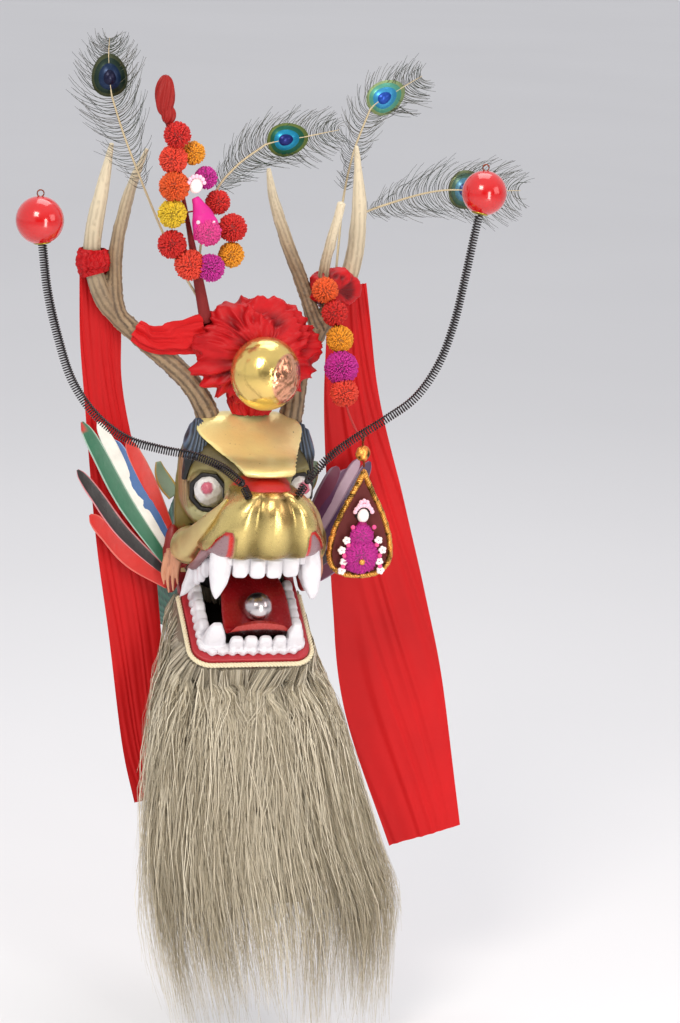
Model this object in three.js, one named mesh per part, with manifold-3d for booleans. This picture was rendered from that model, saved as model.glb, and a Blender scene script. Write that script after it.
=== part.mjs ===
// A carved dragon boat head: neck, skull, gaping mouth, fins and antlers in wood, with the spring
// feelers, cloth, pompoms, pendant, peacock feathers and hair beard that are tied on for a festival.
// Millimetres, +Z up, the face looks along -Y, and +X is at the right of someone facing it.
// The origin is the middle of the flat butt of the neck. "left" and "right" are those of the viewer.
import * as THREE from "three";
import { mergeVertices } from "three/addons/utils/BufferGeometryUtils.js";
import Module from "manifold-3d";

const wasm = await Module();
wasm.setup();

// Driving dimensions. The head is set out from the midpoint between the two eyes.
const EYES_AHEAD = 250;
const EYES_UP = 170;
const EYE_SPACING = 115;
const GAP = 0.3;
const JAW_DROP = THREE.MathUtils.degToRad(32);
const JAW_HINGE = { forward: -80, up: -114 };
const JAW_HALF_WIDTH = 66;
const JAW_LENGTH = 126;
const BALL_RADIUS = { left: 25, right: 24 };
const SPRING_RADIUS = 4.75;

const SIDES = [{ side: "left", s: -1 }, { side: "right", s: 1 }];
const FORWARD = new THREE.Vector3(0, -1, 0);
const ACROSS = new THREE.Vector3(1, 0, 0);

// x to the viewer's right, forward and up from the midpoint of the eyes.
function at(x, forward, up) {
  return new THREE.Vector3(x, -EYES_AHEAD - forward, EYES_UP + up);
}

// x, along the jaw to its front and square to its rim, from the middle of the jaw's hinge line.
function inJaw(x, along, above) {
  const forward = JAW_HINGE.forward + along * Math.cos(JAW_DROP) + above * Math.sin(JAW_DROP);
  const up = JAW_HINGE.up - along * Math.sin(JAW_DROP) + above * Math.cos(JAW_DROP);
  return at(x, forward, up);
}

// A closed mesh with merged corners and its faces turned out.
function closed(geometry) {
  const bare = geometry.clone();
  for (const name of Object.keys(bare.attributes)) {
    if (name !== "position") bare.deleteAttribute(name);
  }
  const merged = mergeVertices(bare, 1e-4);
  const index = Array.from(merged.index.array);
  const spot = merged.attributes.position;
  const corner = (i) => new THREE.Vector3().fromBufferAttribute(spot, i);
  let volume = 0;
  for (let i = 0; i < index.length; i += 3) {
    volume += corner(index[i]).dot(corner(index[i + 1]).cross(corner(index[i + 2])));
  }
  if (volume < 0) {
    for (let i = 0; i < index.length; i += 3) [index[i], index[i + 1]] = [index[i + 1], index[i]];
  }
  merged.setIndex(index);
  return merged;
}

// A closed skin over rings of points, each end closed by a fan.
function skin(rings) {
  const count = rings[0].length;
  const points = rings.flat();
  const faces = [];
  for (let r = 0; r + 1 < rings.length; r++) {
    for (let i = 0; i < count; i++) {
      const a = r * count + i;
      const b = r * count + (i + 1) % count;
      faces.push(a, b, b + count, a, b + count, a + count);
    }
  }
  const last = (rings.length - 1) * count;
  const middle = (ring) => ring.reduce((sum, p) => sum.add(p), new THREE.Vector3()).divideScalar(count);
  const near = points.push(middle(rings[0])) - 1;
  const far = points.push(middle(rings.at(-1))) - 1;
  for (let i = 0; i < count; i++) {
    const next = (i + 1) % count;
    faces.push(near, next, i, far, last + i, last + next);
  }
  return closed(new THREE.BufferGeometry().setFromPoints(points).setIndex(faces));
}

// Points round an oval of half size 1. A power over 2 squares it.
function oval(sides, power) {
  return Array.from({ length: sides }, (_, i) => {
    const angle = 2 * Math.PI * (i + 0.5) / sides;
    const squared = (v) => Math.sign(v) * Math.abs(v) ** (2 / power);
    return [squared(Math.cos(angle)), squared(Math.sin(angle))];
  });
}

// A bar along a smooth curve through stations [point, half width, half thickness]. Its thickness
// points along facing, or its width along across.
function bar(stations, { facing = FORWARD, across = null, sides = 6, steps = 2, power = 2 } = {}) {
  const curve = new THREE.CatmullRomCurve3(stations.map((row) => row[0]), false, "centripetal");
  const spans = stations.length - 1;
  const rings = [];
  for (let k = 0; k <= spans * steps; k++) {
    const t = k / (spans * steps);
    const from = Math.min(Math.floor(k / steps), spans - 1);
    const part = k / steps - from;
    const width = THREE.MathUtils.lerp(stations[from][1], stations[from + 1][1], part);
    const thick = THREE.MathUtils.lerp(stations[from][2], stations[from + 1][2], part);
    const along = curve.getTangent(t);
    const wide = across ? across.clone() : new THREE.Vector3().crossVectors(along, facing).normalize();
    const deep = new THREE.Vector3().crossVectors(wide, along).normalize();
    const centre = curve.getPoint(t);
    rings.push(oval(sides, power).map(([u, v]) =>
      centre.clone().addScaledVector(wide, u * width).addScaledVector(deep, v * thick)));
  }
  return skin(rings);
}

// A round rod or tapering tube through rows [point, radius].
function rod(rows, options = {}) {
  return bar(rows.map(([point, radius]) => [point, radius, radius]), options);
}

function egg(centre, [rx, ry, rz], around = 12, down = 7) {
  const geometry = new THREE.SphereGeometry(1, around, down).rotateX(Math.PI / 2).scale(rx, ry, rz);
  return closed(geometry.translate(centre.x, centre.y, centre.z));
}

// The U of a jaw seen from above, from its back at one side round the front to the other.
function hoof(halfWidth, front, back, corner, turns = 3) {
  const points = [[-halfWidth, back]];
  for (const s of [-1, 1]) {
    for (let i = 0; i <= turns; i++) {
      const angle = (s < 0 ? 1 - i / turns : i / turns) * Math.PI / 2;
      const x = halfWidth - corner + corner * Math.cos(Math.PI / 2 - angle);
      points.push([s * x, front - corner + corner * Math.sin(Math.PI / 2 - angle)]);
    }
  }
  points.push([halfWidth, back]);
  return points;
}

// A band between two U outlines, from one height to another. place turns [x, along, above] to a point.
function hoofBand(outer, inner, low, high, place) {
  const shape = new THREE.Shape([...outer, ...inner.reverse()].map(([x, y]) => new THREE.Vector2(x, y)));
  const geometry = new THREE.ExtrudeGeometry(shape, { depth: high - low, bevelEnabled: false });
  const spot = geometry.attributes.position;
  for (let i = 0; i < spot.count; i++) {
    const point = place(spot.getX(i), spot.getY(i), low + spot.getZ(i));
    spot.setXYZ(i, point.x, point.y, point.z);
  }
  return closed(geometry);
}

function solid(geometry) {
  const triVerts = new Uint32Array(geometry.index.array);
  const vertProperties = new Float32Array(geometry.attributes.position.array);
  return new wasm.Manifold(new wasm.Mesh({ numProp: 3, vertProperties, triVerts }));
}

function geometryOf(manifold) {
  const mesh = manifold.getMesh();
  const geometry = new THREE.BufferGeometry();
  geometry.setAttribute("position", new THREE.BufferAttribute(new Float32Array(mesh.vertProperties), 3));
  geometry.setIndex(Array.from(mesh.triVerts));
  return geometry;
}

function joined(...geometries) {
  return geometryOf(geometries.map(solid).reduce((sum, piece) => sum.add(piece)));
}

// The same form a little larger all round, so that a piece cut by it keeps a gap to it.
function grown(geometry, gap = GAP) {
  const larger = geometry.clone();
  larger.computeVertexNormals();
  const spot = larger.attributes.position;
  const normal = larger.attributes.normal;
  for (let i = 0; i < spot.count; i++) {
    spot.setXYZ(i, spot.getX(i) + gap * normal.getX(i), spot.getY(i) + gap * normal.getY(i),
      spot.getZ(i) + gap * normal.getZ(i));
  }
  return larger;
}

function cut(geometry, ...cutters) {
  return geometryOf(cutters.reduce((rest, cutter) => rest.subtract(solid(grown(cutter))), solid(geometry)));
}

const head = new THREE.Group();

function add(name, geometry, color, roughness = 0.6, metalness = 0) {
  const flat = geometry.toNonIndexed();
  flat.computeVertexNormals();
  const mesh = new THREE.Mesh(flat, new THREE.MeshStandardMaterial({ color, roughness, metalness }));
  mesh.name = name;
  head.add(mesh);
}

// Sections across the head: [forward, half width, bottom, top].
function sections(rows, sides, power) {
  return skin(rows.map(([forward, halfWidth, bottom, top]) => oval(sides, power).map(([u, v]) =>
    at(u * halfWidth, forward, (top + bottom) / 2 + v * (top - bottom) / 2))));
}

const GOLD = 0xc9a24a;
const BLACK = 0x1c1a18;
const IVORY = 0xf2efe8;
const CRIMSON = 0xc41a1c;

// Skull: the cranium with the back of the mouth, and the core of the muzzle.
const cranium = sections([
  [-132, 40, -44, 26], [-122, 58, -95, 48], [-100, 70, -128, 66], [-76, 75, -132, 74],
  [-70, 76, -60, 75], [-40, 77, -58, 70], [-18, 75, -57, 58], [-7, 60, -52, 52],
  [4, 43, -44, 46], [16, 30, -30, 42],
], 16, 2.6);
const muzzle = sections([
  [-30, 48, -57, 24], [10, 44, -57, 28], [40, 34, -57, 30], [58, 30, -50, 29], [66, 29, -46, 27],
  [74, 27, -40, 20],
], 12, 2.6);
const skull = joined(cranium, muzzle);

// Neck: down and back to its flat butt.
const neck = cut(sections([
  [-104, 56, -142, 30], [-118, 63, -150, 24], [-150, 67, -168, -12], [-200, 70, -204, -74],
  [-235, 67, -222, -108], [-250, 64, -226, -114],
], 16, 2.6), skull);

// Forehead plate: an hourglass of carved wood that slopes up and back from a rounded nub over the
// bridge of the nose, [up, half width, front, setback at the sides].
const plateRows = [
  [27, 26, 70, 8], [32, 29, 73, 9], [37, 30, 68, 9], [41, 33, 56, 8], [45, 36, 40, 8], [50, 42, 22, 8],
  [56, 48, 4, 8], [62, 53, -10, 8], [68, 55, -20, 8], [74, 52, -29, 7], [78, 44, -36, 6], [80, 34, -42, 5],
];
const PLATE_BACK = -60;
const plate = skin(plateRows.map(([up, halfWidth, front, setback]) => {
  const points = [at(halfWidth * 0.9, PLATE_BACK, up), at(-halfWidth * 0.9, PLATE_BACK, up)];
  for (let i = 0; i <= 10; i++) {
    const u = -1 + i / 5;
    points.push(at(u * halfWidth, front - setback * u * u, up));
  }
  return points;
}));

// Snout: a dome over the front teeth with two shallow grooves down it, narrower behind its lobes,
// [up, half width, front, share by which it narrows at its back].
const snoutRows = [
  [18, 28, 80, 0.1], [13, 41, 89, 0.2], [0, 55, 95, 0.34], [-16, 62, 96, 0.3], [-32, 67, 93, 0.14],
  [-46, 70, 88, 0], [-55, 67, 79, 0], [-57, 60, 72, 0],
];
const SNOUT = { back: 14, power: 3, sides: 18, grooveAt: 0.38, grooveDepth: 4, grooveHalfWidth: 0.14 };
const snout = skin(snoutRows.map(([up, halfWidth, front, narrowing]) =>
  Array.from({ length: SNOUT.sides + 1 }, (_, i) => {
    const angle = Math.PI * i / SNOUT.sides;
    const u = Math.sign(Math.cos(angle)) * Math.abs(Math.cos(angle)) ** (2 / SNOUT.power);
    const ahead = Math.sin(angle) ** (2 / SNOUT.power);
    const groove = SNOUT.grooveDepth * Math.exp(-(((Math.abs(u) - SNOUT.grooveAt) / SNOUT.grooveHalfWidth) ** 2));
    const forward = SNOUT.back + Math.max((front - SNOUT.back) * ahead - groove, 0);
    return at(u * halfWidth * (1 - narrowing * (1 - ahead) ** 2), forward, up);
  })));

// Eyes: a ball held in a turned socket, both looking out and a little to the side.
const EYE = { radius: 17, socketRadius: 21, turn: THREE.MathUtils.degToRad(30), proud: 11, depth: 20 };
function eyeAt(s, behind) {
  const out = [s * Math.sin(EYE.turn), Math.cos(EYE.turn)];
  return at(s * EYE_SPACING / 2 - behind * out[0], -behind * out[1], 0);
}
const eyeballs = SIDES.map(({ s }) => egg(eyeAt(s, EYE.radius), [EYE.radius, EYE.radius, EYE.radius]));
const sockets = SIDES.map(({ s }) => bar([
  [eyeAt(s, EYE.proud - 4), EYE.socketRadius, EYE.socketRadius],
  [eyeAt(s, EYE.proud + EYE.depth), EYE.socketRadius, EYE.socketRadius],
], { facing: new THREE.Vector3(0, 0, 1), sides: 12, steps: 1 }));

// Brows: tufts that rise beside the forehead, [x, forward, up, half width, half thickness].
const browRows = [
  [75, -24, 2, 3, 4], [74, -27, 22, 6, 7], [67, -31, 44, 12, 9], [60, -34, 63, 12, 9], [57, -36, 76, 6, 6],
  [56, -36, 83, 2, 3],
];
// Cheeks, and the carved tufts that hang below them.
const CHEEK = { x: 60, forward: -24, up: -66, radii: [28, 36, 25] };
const tuftRows = [[76, -40, -77, 7, 5], [84, -47, -96, 8, 5], [86, -48, -118, 7, 4], [81, -45, -133, 3, 3]];
// Lips: they curl from under the snout down to the corners of the mouth.
const lipRows = [
  [48, 52, -38, 7, 7], [58, 46, -49, 8, 8], [65, 31, -64, 8, 8], [68, 5, -86, 8, 7], [66, -24, -97, 6, 6],
];
const earRows = [[72, -86, -22, 8, 5], [81, -91, -10, 9, 4], [87, -95, 2, 7, 3], [90, -97, 14, 3, 2]];

function mirroredBar(rows, s, options) {
  return bar(rows.map(([x, forward, up, wide, thick]) => [at(s * x, forward, up), wide, thick]), options);
}

// Fins: six thin boards on a root block at each side, [colour, root x, forward, up, mid x, forward,
// up, tip x, forward, up, half width].
const finRows = [
  ["red", 80, -64, -118, 120, -74, -92, 167, -84, -43, 10],
  ["black", 80, -66, -108, 130, -77, -62, 182, -88, 7, 8],
  ["green", 79, -68, -98, 128, -80, -30, 178, -92, 60, 9],
  ["white", 78, -70, -88, 120, -82, -16, 160, -92, 60, 8],
  ["blue", 77, -72, -78, 110, -81, -18, 143, -90, 40, 9],
  ["red", 76, -74, -66, 101, -81, -12, 127, -88, 40, 9],
];
const BOARD_HALF_THICKNESS = 3;
function finFan(s) {
  const root = egg(at(s * 76, -69, -90), [11, 11, 40], 12, 8);
  const boards = finRows.map(([, x0, f0, z0, x1, f1, z1, x2, f2, z2, wide]) => bar([
    [at(s * x0, f0, z0), wide * 0.8, BOARD_HALF_THICKNESS],
    [at(s * x1, f1, z1), wide, BOARD_HALF_THICKNESS],
    [at(s * x2, f2, z2), 2, BOARD_HALF_THICKNESS * 0.6],
  ], { sides: 4 }));
  return joined(root, ...boards);
}

// Antlers: each a main beam with its tines, rows of [x, forward, up, radius].
const antlerTines = {
  left: [
    [[-42, -50, 56, 13], [-49, -50, 82, 12.5], [-65, -52, 110, 12], [-94, -65, 138, 11.5],
      [-131, -80, 168, 11], [-158, -90, 196, 10.5], [-171, -95, 234, 10], [-172, -95, 267, 9.5],
      [-166, -90, 311, 8], [-158, -80, 369, 2.5]],
    [[-131, -80, 168, 9], [-144, -85, 186, 9], [-147, -95, 217, 8.5], [-144, -100, 261, 7.5],
      [-131, -105, 315, 6], [-114, -105, 361, 2.5]],
  ],
  right: [
    [[45, -50, 58, 13], [49, -50, 88, 12.5], [55, -52, 133, 12], [77, -65, 169, 11.5],
      [102, -80, 200, 11], [119, -90, 238, 10], [125, -95, 299, 8.5], [117, -90, 371, 2.5]],
    [[77, -65, 170, 9], [70, -70, 189, 8.5], [61, -80, 217, 8], [45, -90, 259, 7.5],
      [29, -100, 307, 6], [22, -105, 342, 2.5]],
    [[92, -74, 190, 7.5], [82, -69, 216, 6.5], [82, -64, 245, 6], [93, -50, 313, 4.5]],
  ],
};
function rodRows(rows) {
  return rows.map(([x, forward, up, radius]) => [at(x, forward, up), radius]);
}
const antlers = Object.fromEntries(Object.entries(antlerTines).map(([side, tines]) =>
  [side, cut(joined(...tines.map((rows) => rod(rodRows(rows)))), skull, plate)]));

// Mouth: teeth on a bar under the palate, and on another along the rim of the jaw.
const UPPER_BAR = { halfWidth: 56, front: 64, back: 4, corner: 26, band: 14, top: -57.3, depth: 8 };
const onPalate = (x, forward, up) => at(x, forward, up);
function tooth(root, tip, halfWidth, halfThickness, facing = FORWARD) {
  const middle = root.clone().lerp(tip, 0.6);
  return bar([[root, halfWidth, halfThickness], [middle, halfWidth * 0.92, halfThickness * 0.9],
    [tip, halfWidth * 0.5, halfThickness * 0.5]], { facing, sides: 6, steps: 1, power: 3 });
}
const upperBarBottom = UPPER_BAR.top - UPPER_BAR.depth;
const upperBar = hoofBand(
  hoof(UPPER_BAR.halfWidth, UPPER_BAR.front, UPPER_BAR.back, UPPER_BAR.corner),
  hoof(UPPER_BAR.halfWidth - UPPER_BAR.band, UPPER_BAR.front - UPPER_BAR.band, UPPER_BAR.back, 14),
  upperBarBottom, UPPER_BAR.top, onPalate);
const incisors = [-27.6, -9.2, 9.2, 27.6].map((x) => tooth(
  at(x, 57 - x * x / 160, upperBarBottom + 2), at(x, 58 - x * x / 160, -81), 8.6, 5));
const molars = SIDES.flatMap(({ s }) => [14, 25, 36].map((forward) => tooth(
  at(s * 49, forward, upperBarBottom + 2), at(s * 49, forward, -79), 5.2, 5, ACROSS)));
const upperTeeth = joined(upperBar, ...incisors, ...molars);

const jawCorner = 0.3;
const jawLevels = [[0, 66, 126], [-14, 66, 126], [-34, 60, 118], [-50, 42, 100], [-57, 22, 78]];
const jawOuter = skin(jawLevels.map(([above, halfWidth, front]) =>
  hoof(halfWidth, front, -8, jawCorner * halfWidth).map(([x, along]) => inJaw(x, along, above))));
const jawHollow = skin([[6, 55, 115], [-10, 55, 115], [-32, 46, 104]].map(([above, halfWidth, front]) =>
  hoof(halfWidth, front, -20, jawCorner * halfWidth).map(([x, along]) => inJaw(x, along, above))));

const LOWER_BAR = { halfWidth: 59, front: 119, back: 18, corner: 16, band: 13, height: 6 };
const lowerBar = hoofBand(
  hoof(LOWER_BAR.halfWidth, LOWER_BAR.front, LOWER_BAR.back, LOWER_BAR.corner),
  hoof(LOWER_BAR.halfWidth - LOWER_BAR.band, LOWER_BAR.front - LOWER_BAR.band, LOWER_BAR.back, 6),
  GAP, LOWER_BAR.height, inJaw);
const lowerFront = [-19.5, -3.2, 13, 29].map((x) => tooth(inJaw(x, 112, 4), inJaw(x, 112, 21), 7.5, 5));
const lowerCorners = [[-42.5, 11.5], [47.5, 8.5]].map(([x, halfWidth]) => tooth(
  inJaw(x, 106, 4), inJaw(x, 107, 35), halfWidth, 7));
const lowerSides = SIDES.flatMap(({ s }) => [30, 44, 58, 72, 86].map((along) => tooth(
  inJaw(s * 52, along, 4), inJaw(s * 52, along, 17), 6, 5, ACROSS)));
const lowerTeeth = joined(lowerBar, ...lowerFront, ...lowerCorners, ...lowerSides);

// Tongue: a board fixed in the throat that droops and curls up at its tip, a little off centre.
const TONGUE_X = 8;
const tongueRows = [
  [-78, -104, 24, 7], [-50, -110, 27, 7], [-28, -122, 31, 7], [-8, -142, 33, 6.5],
  [6, -154, 33, 5.5], [15, -152, 32, 4], [18, -145, 27, 3],
];
const tongue = bar(tongueRows.map(([forward, up, wide, thick]) => [at(TONGUE_X, forward, up), wide, thick]),
  { across: ACROSS, sides: 10, steps: 1, power: 3 });
const PEARL_RADIUS = 15;
const pearl = egg(at(7.5, 2, -129), [PEARL_RADIUS, PEARL_RADIUS, PEARL_RADIUS]);

const fans = SIDES.map(({ s }) => finFan(s));
const cheeks = SIDES.map(({ s }) => egg(at(s * CHEEK.x, CHEEK.forward, CHEEK.up), CHEEK.radii));
const lips = SIDES.map(({ s }) => mirroredBar(lipRows, s));
const brows = SIDES.map(({ s }) => mirroredBar(browRows, s));

add("neck", neck, 0x2f6b58);
add("skull", cut(skull, ...sockets, ...eyeballs), 0x8d8a4a);
add("forehead_plate", cut(plate, skull), GOLD, 0.3, 1);
add("snout", cut(snout, skull, plate), GOLD, 0.3, 1);
add("lower_jaw", cut(geometryOf(solid(jawOuter).subtract(solid(jawHollow))), skull, neck), 0x9c2a26);
add("upper_teeth", cut(upperTeeth, skull, snout, ...cheeks, ...lips), IVORY, 0.35);
add("lower_teeth", cut(lowerTeeth, skull), IVORY, 0.35);
add("tongue", cut(tongue, skull), 0x9e1f22, 0.35);
add("tongue_pearl", cut(pearl, tongue), 0xc8c8cc, 0.2, 1);
SIDES.forEach(({ side, s }, i) => {
  add(`eye_socket_${side}`, cut(sockets[i], eyeballs[i]), BLACK);
  add(`eyeball_${side}`, eyeballs[i], IVORY, 0.3);
  add(`brow_${side}`, cut(brows[i], skull, plate, sockets[i], eyeballs[i]), 0x39424e);
  add(`cheek_${side}`, cut(cheeks[i], skull, snout, lips[i], sockets[i]), 0xa9924a, 0.4, 1);
  add(`cheek_tuft_${side}`, cut(mirroredBar(tuftRows, s), skull, cheeks[i], fans[i]), 0xb58c62);
  add(`lip_${side}`, cut(lips[i], skull, snout), 0xb3302c);
  const fangRoot = upperBarBottom - GAP;
  add(`fang_front_${side}`, cut(rod([[at(s * 50, 51, fangRoot), 10], [at(s * 51, 53, fangRoot - 14), 9],
    [at(s * 51, 55, fangRoot - 28), 6], [at(s * 50, 56, fangRoot - 40), 1.5]]), upperTeeth), IVORY, 0.35);
  add(`fang_side_${side}`, cut(rod([[at(s * 62, -12, -90), 8], [at(s * 67, -19, -108), 6.5],
    [at(s * 73, -26, -125), 1.5]]), skull, cheeks[i], lips[i]), IVORY, 0.35);
  add(`ear_${side}`, cut(mirroredBar(earRows, s), skull), 0x7d8f6a);
  add(`fin_fan_${side}`, cut(fans[i], skull, neck, cheeks[i]), 0x9a1f20);
  add(`antler_${side}`, cut(antlers[side], brows[i]), 0xb9a88c);
});

// Feelers: a coil spring with a lacquered ball at its tip, on a ball seat in a socket beside the
// bridge of the nose. The spring's envelope is a rod, rows of [x, forward, up].
const SOCKET = { radius: 7, sunk: 14, proud: 6 };
const SEAT_RADIUS = 5;
const feelerRows = {
  left: [[-30, 80, 20], [-38, 84, 34], [-59, 86, 48], [-88, 85, 60], [-125, 82, 67], [-162, 78, 78],
    [-194, 73, 102], [-219, 68, 138], [-235, 63, 185], [-246, 58, 231], [-252, 54, 278]],
  right: [[31, 80, 22], [39, 84, 38], [55, 86, 56], [82, 86, 77], [118, 84, 99], [151, 80, 122],
    [176, 75, 157], [192, 70, 200], [203, 64, 247], [212, 58, 290], [218, 54, 316]],
};
for (const { side } of SIDES) {
  const path = feelerRows[side].map((row) => at(...row));
  const out = path[1].clone().sub(path[0]).normalize();
  const seat = path[0].clone().addScaledVector(out, SOCKET.proud + GAP + SEAT_RADIUS);
  const socket = rod([[path[0].clone().addScaledVector(out, -SOCKET.sunk), SOCKET.radius],
    [path[0].clone().addScaledVector(out, SOCKET.proud), SOCKET.radius]], { sides: 12, steps: 1 });
  add(`feeler_socket_${side}`, cut(socket, skull, plate, snout), BLACK);
  const spring = rod([seat, ...path.slice(2)].map((point) => [point, SPRING_RADIUS]), { sides: 6 });
  add(`feeler_spring_${side}`, joined(egg(seat, [SEAT_RADIUS, SEAT_RADIUS, SEAT_RADIUS], 10, 6), spring),
    0x3a3636, 0.4, 1);
  const tip = path.at(-1);
  const end = tip.clone().sub(path.at(-2)).normalize();
  const ball = tip.clone().addScaledVector(end, BALL_RADIUS[side] + GAP);
  const radius = BALL_RADIUS[side];
  const loop = new THREE.TorusGeometry(3.5, 0.8, 4, 8).rotateX(Math.PI / 2);
  loop.translate(ball.x, ball.y, ball.z + radius + 3);
  add(`feeler_ball_${side}`, joined(egg(ball, [radius, radius, radius], 16, 9), closed(loop)), 0xd3231f, 0.25);
}

// Cloth rosette with the polished globe set in its middle, and its tie down to the skull.
const globe = egg(at(1, 14, 135), [38, 36, 40], 16, 9);
const rosette = joined(egg(at(0, -28, 152), [71, 34, 57], 16, 9), egg(at(0, -40, 100), [30, 20, 30], 10, 6));
add("rosette", cut(rosette, globe, plate, skull, antlers.left, antlers.right), CRIMSON, 0.8);
add("gold_globe", globe, GOLD, 0.15, 1);

function clothBar(rows, options) {
  return bar(rows.map(([x, forward, up, wide, thick]) => [at(x, forward, up), wide, thick]), options);
}
const swagRows = [[-55, -30, 172, 24, 12], [-84, -42, 163, 20, 10], [-109, -58, 159, 17, 9], [-126, -70, 166, 14, 8]];
const swag = clothBar(swagRows);
add("swag", cut(swag, rosette, antlers.left), CRIMSON, 0.8);
const wrapLeft = rod(rodRows([[-168, -94, 224, 17], [-171, -95, 238, 19], [-172, -95, 252, 16]]), { sides: 8, steps: 1 });
const wrapRight = egg(at(93, -76, 214), [32, 23, 25]);
add("antler_wrap_left", cut(wrapLeft, antlers.left), CRIMSON, 0.8);
add("antler_wrap_right", cut(wrapRight, antlers.right), CRIMSON, 0.8);

// Beard: hair hung all round the jaw under a braided cord, from rings [above, back, front, half
// width] square to the jaw and then level ones [x, forward, up, half width, half depth].
const beardCollar = [[-9.5, -2, 133, 74], [-40, -4, 130, 82]];
const beardLevels = [
  [5, -30, -262, 106, 56], [25, -26, -400, 132, 44], [42, -22, -480, 146, 38], [52, -20, -565, 138, 30],
  [64, -18, -648, 122, 18],
];
const beard = skin([
  ...beardCollar.map(([above, back, front, wide]) => oval(16, 3.6).map(([u, v]) =>
    inJaw(u * wide, (back + front) / 2 + v * (front - back) / 2, above))),
  ...beardLevels.map(([x, forward, up, wide, deep]) => oval(16, 2.4).map(([u, v]) =>
    at(x + u * wide, forward + v * deep, up))),
]);
add("beard", cut(beard, jawOuter, skull, neck), 0xb3a78c, 0.9);
const BRAID = { radius: 3.6, above: -5 };
const braidReach = BRAID.radius + GAP;
const braidPath = hoof(JAW_HALF_WIDTH + braidReach, JAW_LENGTH + braidReach, 26,
  jawCorner * JAW_HALF_WIDTH + braidReach).map(([x, along]) => inJaw(x, along, BRAID.above));
const jawUp = new THREE.Vector3(0, -Math.sin(JAW_DROP), Math.cos(JAW_DROP));
add("beard_braid", rod(braidPath.map((point) => [point, BRAID.radius]), { facing: jawUp, steps: 1 }), 0xcfc4a4, 0.9);

// Sashes: long crimson cloths tied to the antlers, [x, forward, up, half width, half thickness].
const sashRows = {
  left: [[-161, -112, 248, 22, 4], [-157, -112, 159, 23, 4], [-150, -112, 81, 22, 4],
    [-124, -112, -67, 31, 4], [-106, -112, -184, 30, 4], [-90, -112, -313, 26, 4], [-76, -112, -384, 23, 4]],
  right: [[118, -100, 214, 22, 4], [132, -108, 82, 32, 4], [155, -112, -35, 44, 4],
    [178, -112, -153, 55, 4], [203, -112, -273, 60, 4], [250, -114, -440, 44, 4]],
};
const wraps = { left: wrapLeft, right: wrapRight };
for (const { side } of SIDES) {
  add(`sash_${side}`, cut(clothBar(sashRows[side], { sides: 8, steps: 1, power: 4 }), antlers[side], wraps[side], beard),
    CRIMSON, 0.8);
}

// Standing spray of pompoms: a thread-wound stem, its wires and balls of yarn, [x, forward, up, radius].
const stemRows = [[-57, -32, 184, 9], [-67, -24, 222, 8], [-86, -17, 300, 4], [-103, -18, 370, 3.5], [-111, -16, 398, 3]];
const sprayPompoms = [
  [-101, -10, 387, 14], [-104, -10, 361, 15], [-81, -20, 367, 12.5], [-103, -5, 333, 16],
  [-66, -20, 341, 12], [-52, -20, 315, 13], [-104, -5, 304, 15], [-103, -5, 271, 15],
  [-37, -10, 289, 15], [-37, -10, 260, 13.5], [-84, 0, 250, 16], [-62, 5, 248, 14.5],
];
const WIRE_RADIUS = 1.5;
const stemCurve = new THREE.CatmullRomCurve3(stemRows.map(([x, forward, up]) => at(x, forward, up)));
const spray = joined(rod(rodRows(stemRows)), ...sprayPompoms.flatMap(([x, forward, up, radius]) => {
  const centre = at(x, forward, up);
  const hold = stemCurve.getPoints(40).reduce((best, point) =>
    Math.abs(point.z + 12 - centre.z) < Math.abs(best.z + 12 - centre.z) ? point : best);
  return [closed(new THREE.IcosahedronGeometry(radius, 1).translate(centre.x, centre.y, centre.z)),
    rod([[hold, WIRE_RADIUS], [centre, WIRE_RADIUS]], { sides: 4, steps: 1 })];
}));
add("pompom_spray", cut(spray, rosette, swag), 0xe0572a, 0.9);
const finial = joined(egg(at(-115, -15, 428), [11, 8, 22], 10, 7), egg(at(-110, -15, 407), [8, 7, 10], 8, 6));
add("spray_finial", cut(finial, spray), 0xb3261e);
const dollRows = [[-70, 1, 277, 11, 5], [-71, 1, 298, 13, 6], [-77, 0, 314, 7, 6], [-81, -2, 322, 4, 4],
  [-81, -3, 332, 7, 7], [-82, -3, 341, 7, 7], [-83, -3, 349, 2, 2]];
add("spray_doll", cut(joined(clothBar(dollRows, { facing: FORWARD }), egg(at(-69, 5, 290), [15, 5, 15], 12, 6),
  rod(rodRows([[-80, -2, 316, 1.5], [-89, -17, 306, 1.5]]), { sides: 6, steps: 1 })), spray), 0x8e3fae, 0.8);

// Hanging string of pompoms. Its wire ends in a peg that the pendant's ring hangs on.
const PIVOT = [112, 20, 68];
const PEG_RADIUS = 1.2;
const stringPompoms = [[76, -38, 218, 14], [86, -30, 194, 14], [91, -22, 167, 14.5], [92, -12, 137, 18], [94, -2, 111, 15]];
const stringRows = [[82, -72, 234], [77, -52, 230], ...stringPompoms.map((row) => row.slice(0, 3)),
  [97, 8, 92], [102, 14, 79], [106, 18, 71], [PIVOT[0] - 3, PIVOT[1], PIVOT[2]], [PIVOT[0] + 4, PIVOT[1], PIVOT[2]]];
const string = joined(rod(stringRows.map((row) => [at(...row), PEG_RADIUS]), { sides: 6, steps: 1 }),
  ...stringPompoms.map(([x, forward, up, radius]) => {
    const centre = at(x, forward, up);
    return closed(new THREE.IcosahedronGeometry(radius, 1).translate(centre.x, centre.y, centre.z));
  }));
add("pompom_string", cut(string, wrapRight, antlers.right), 0xe0572a, 0.9);

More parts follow.
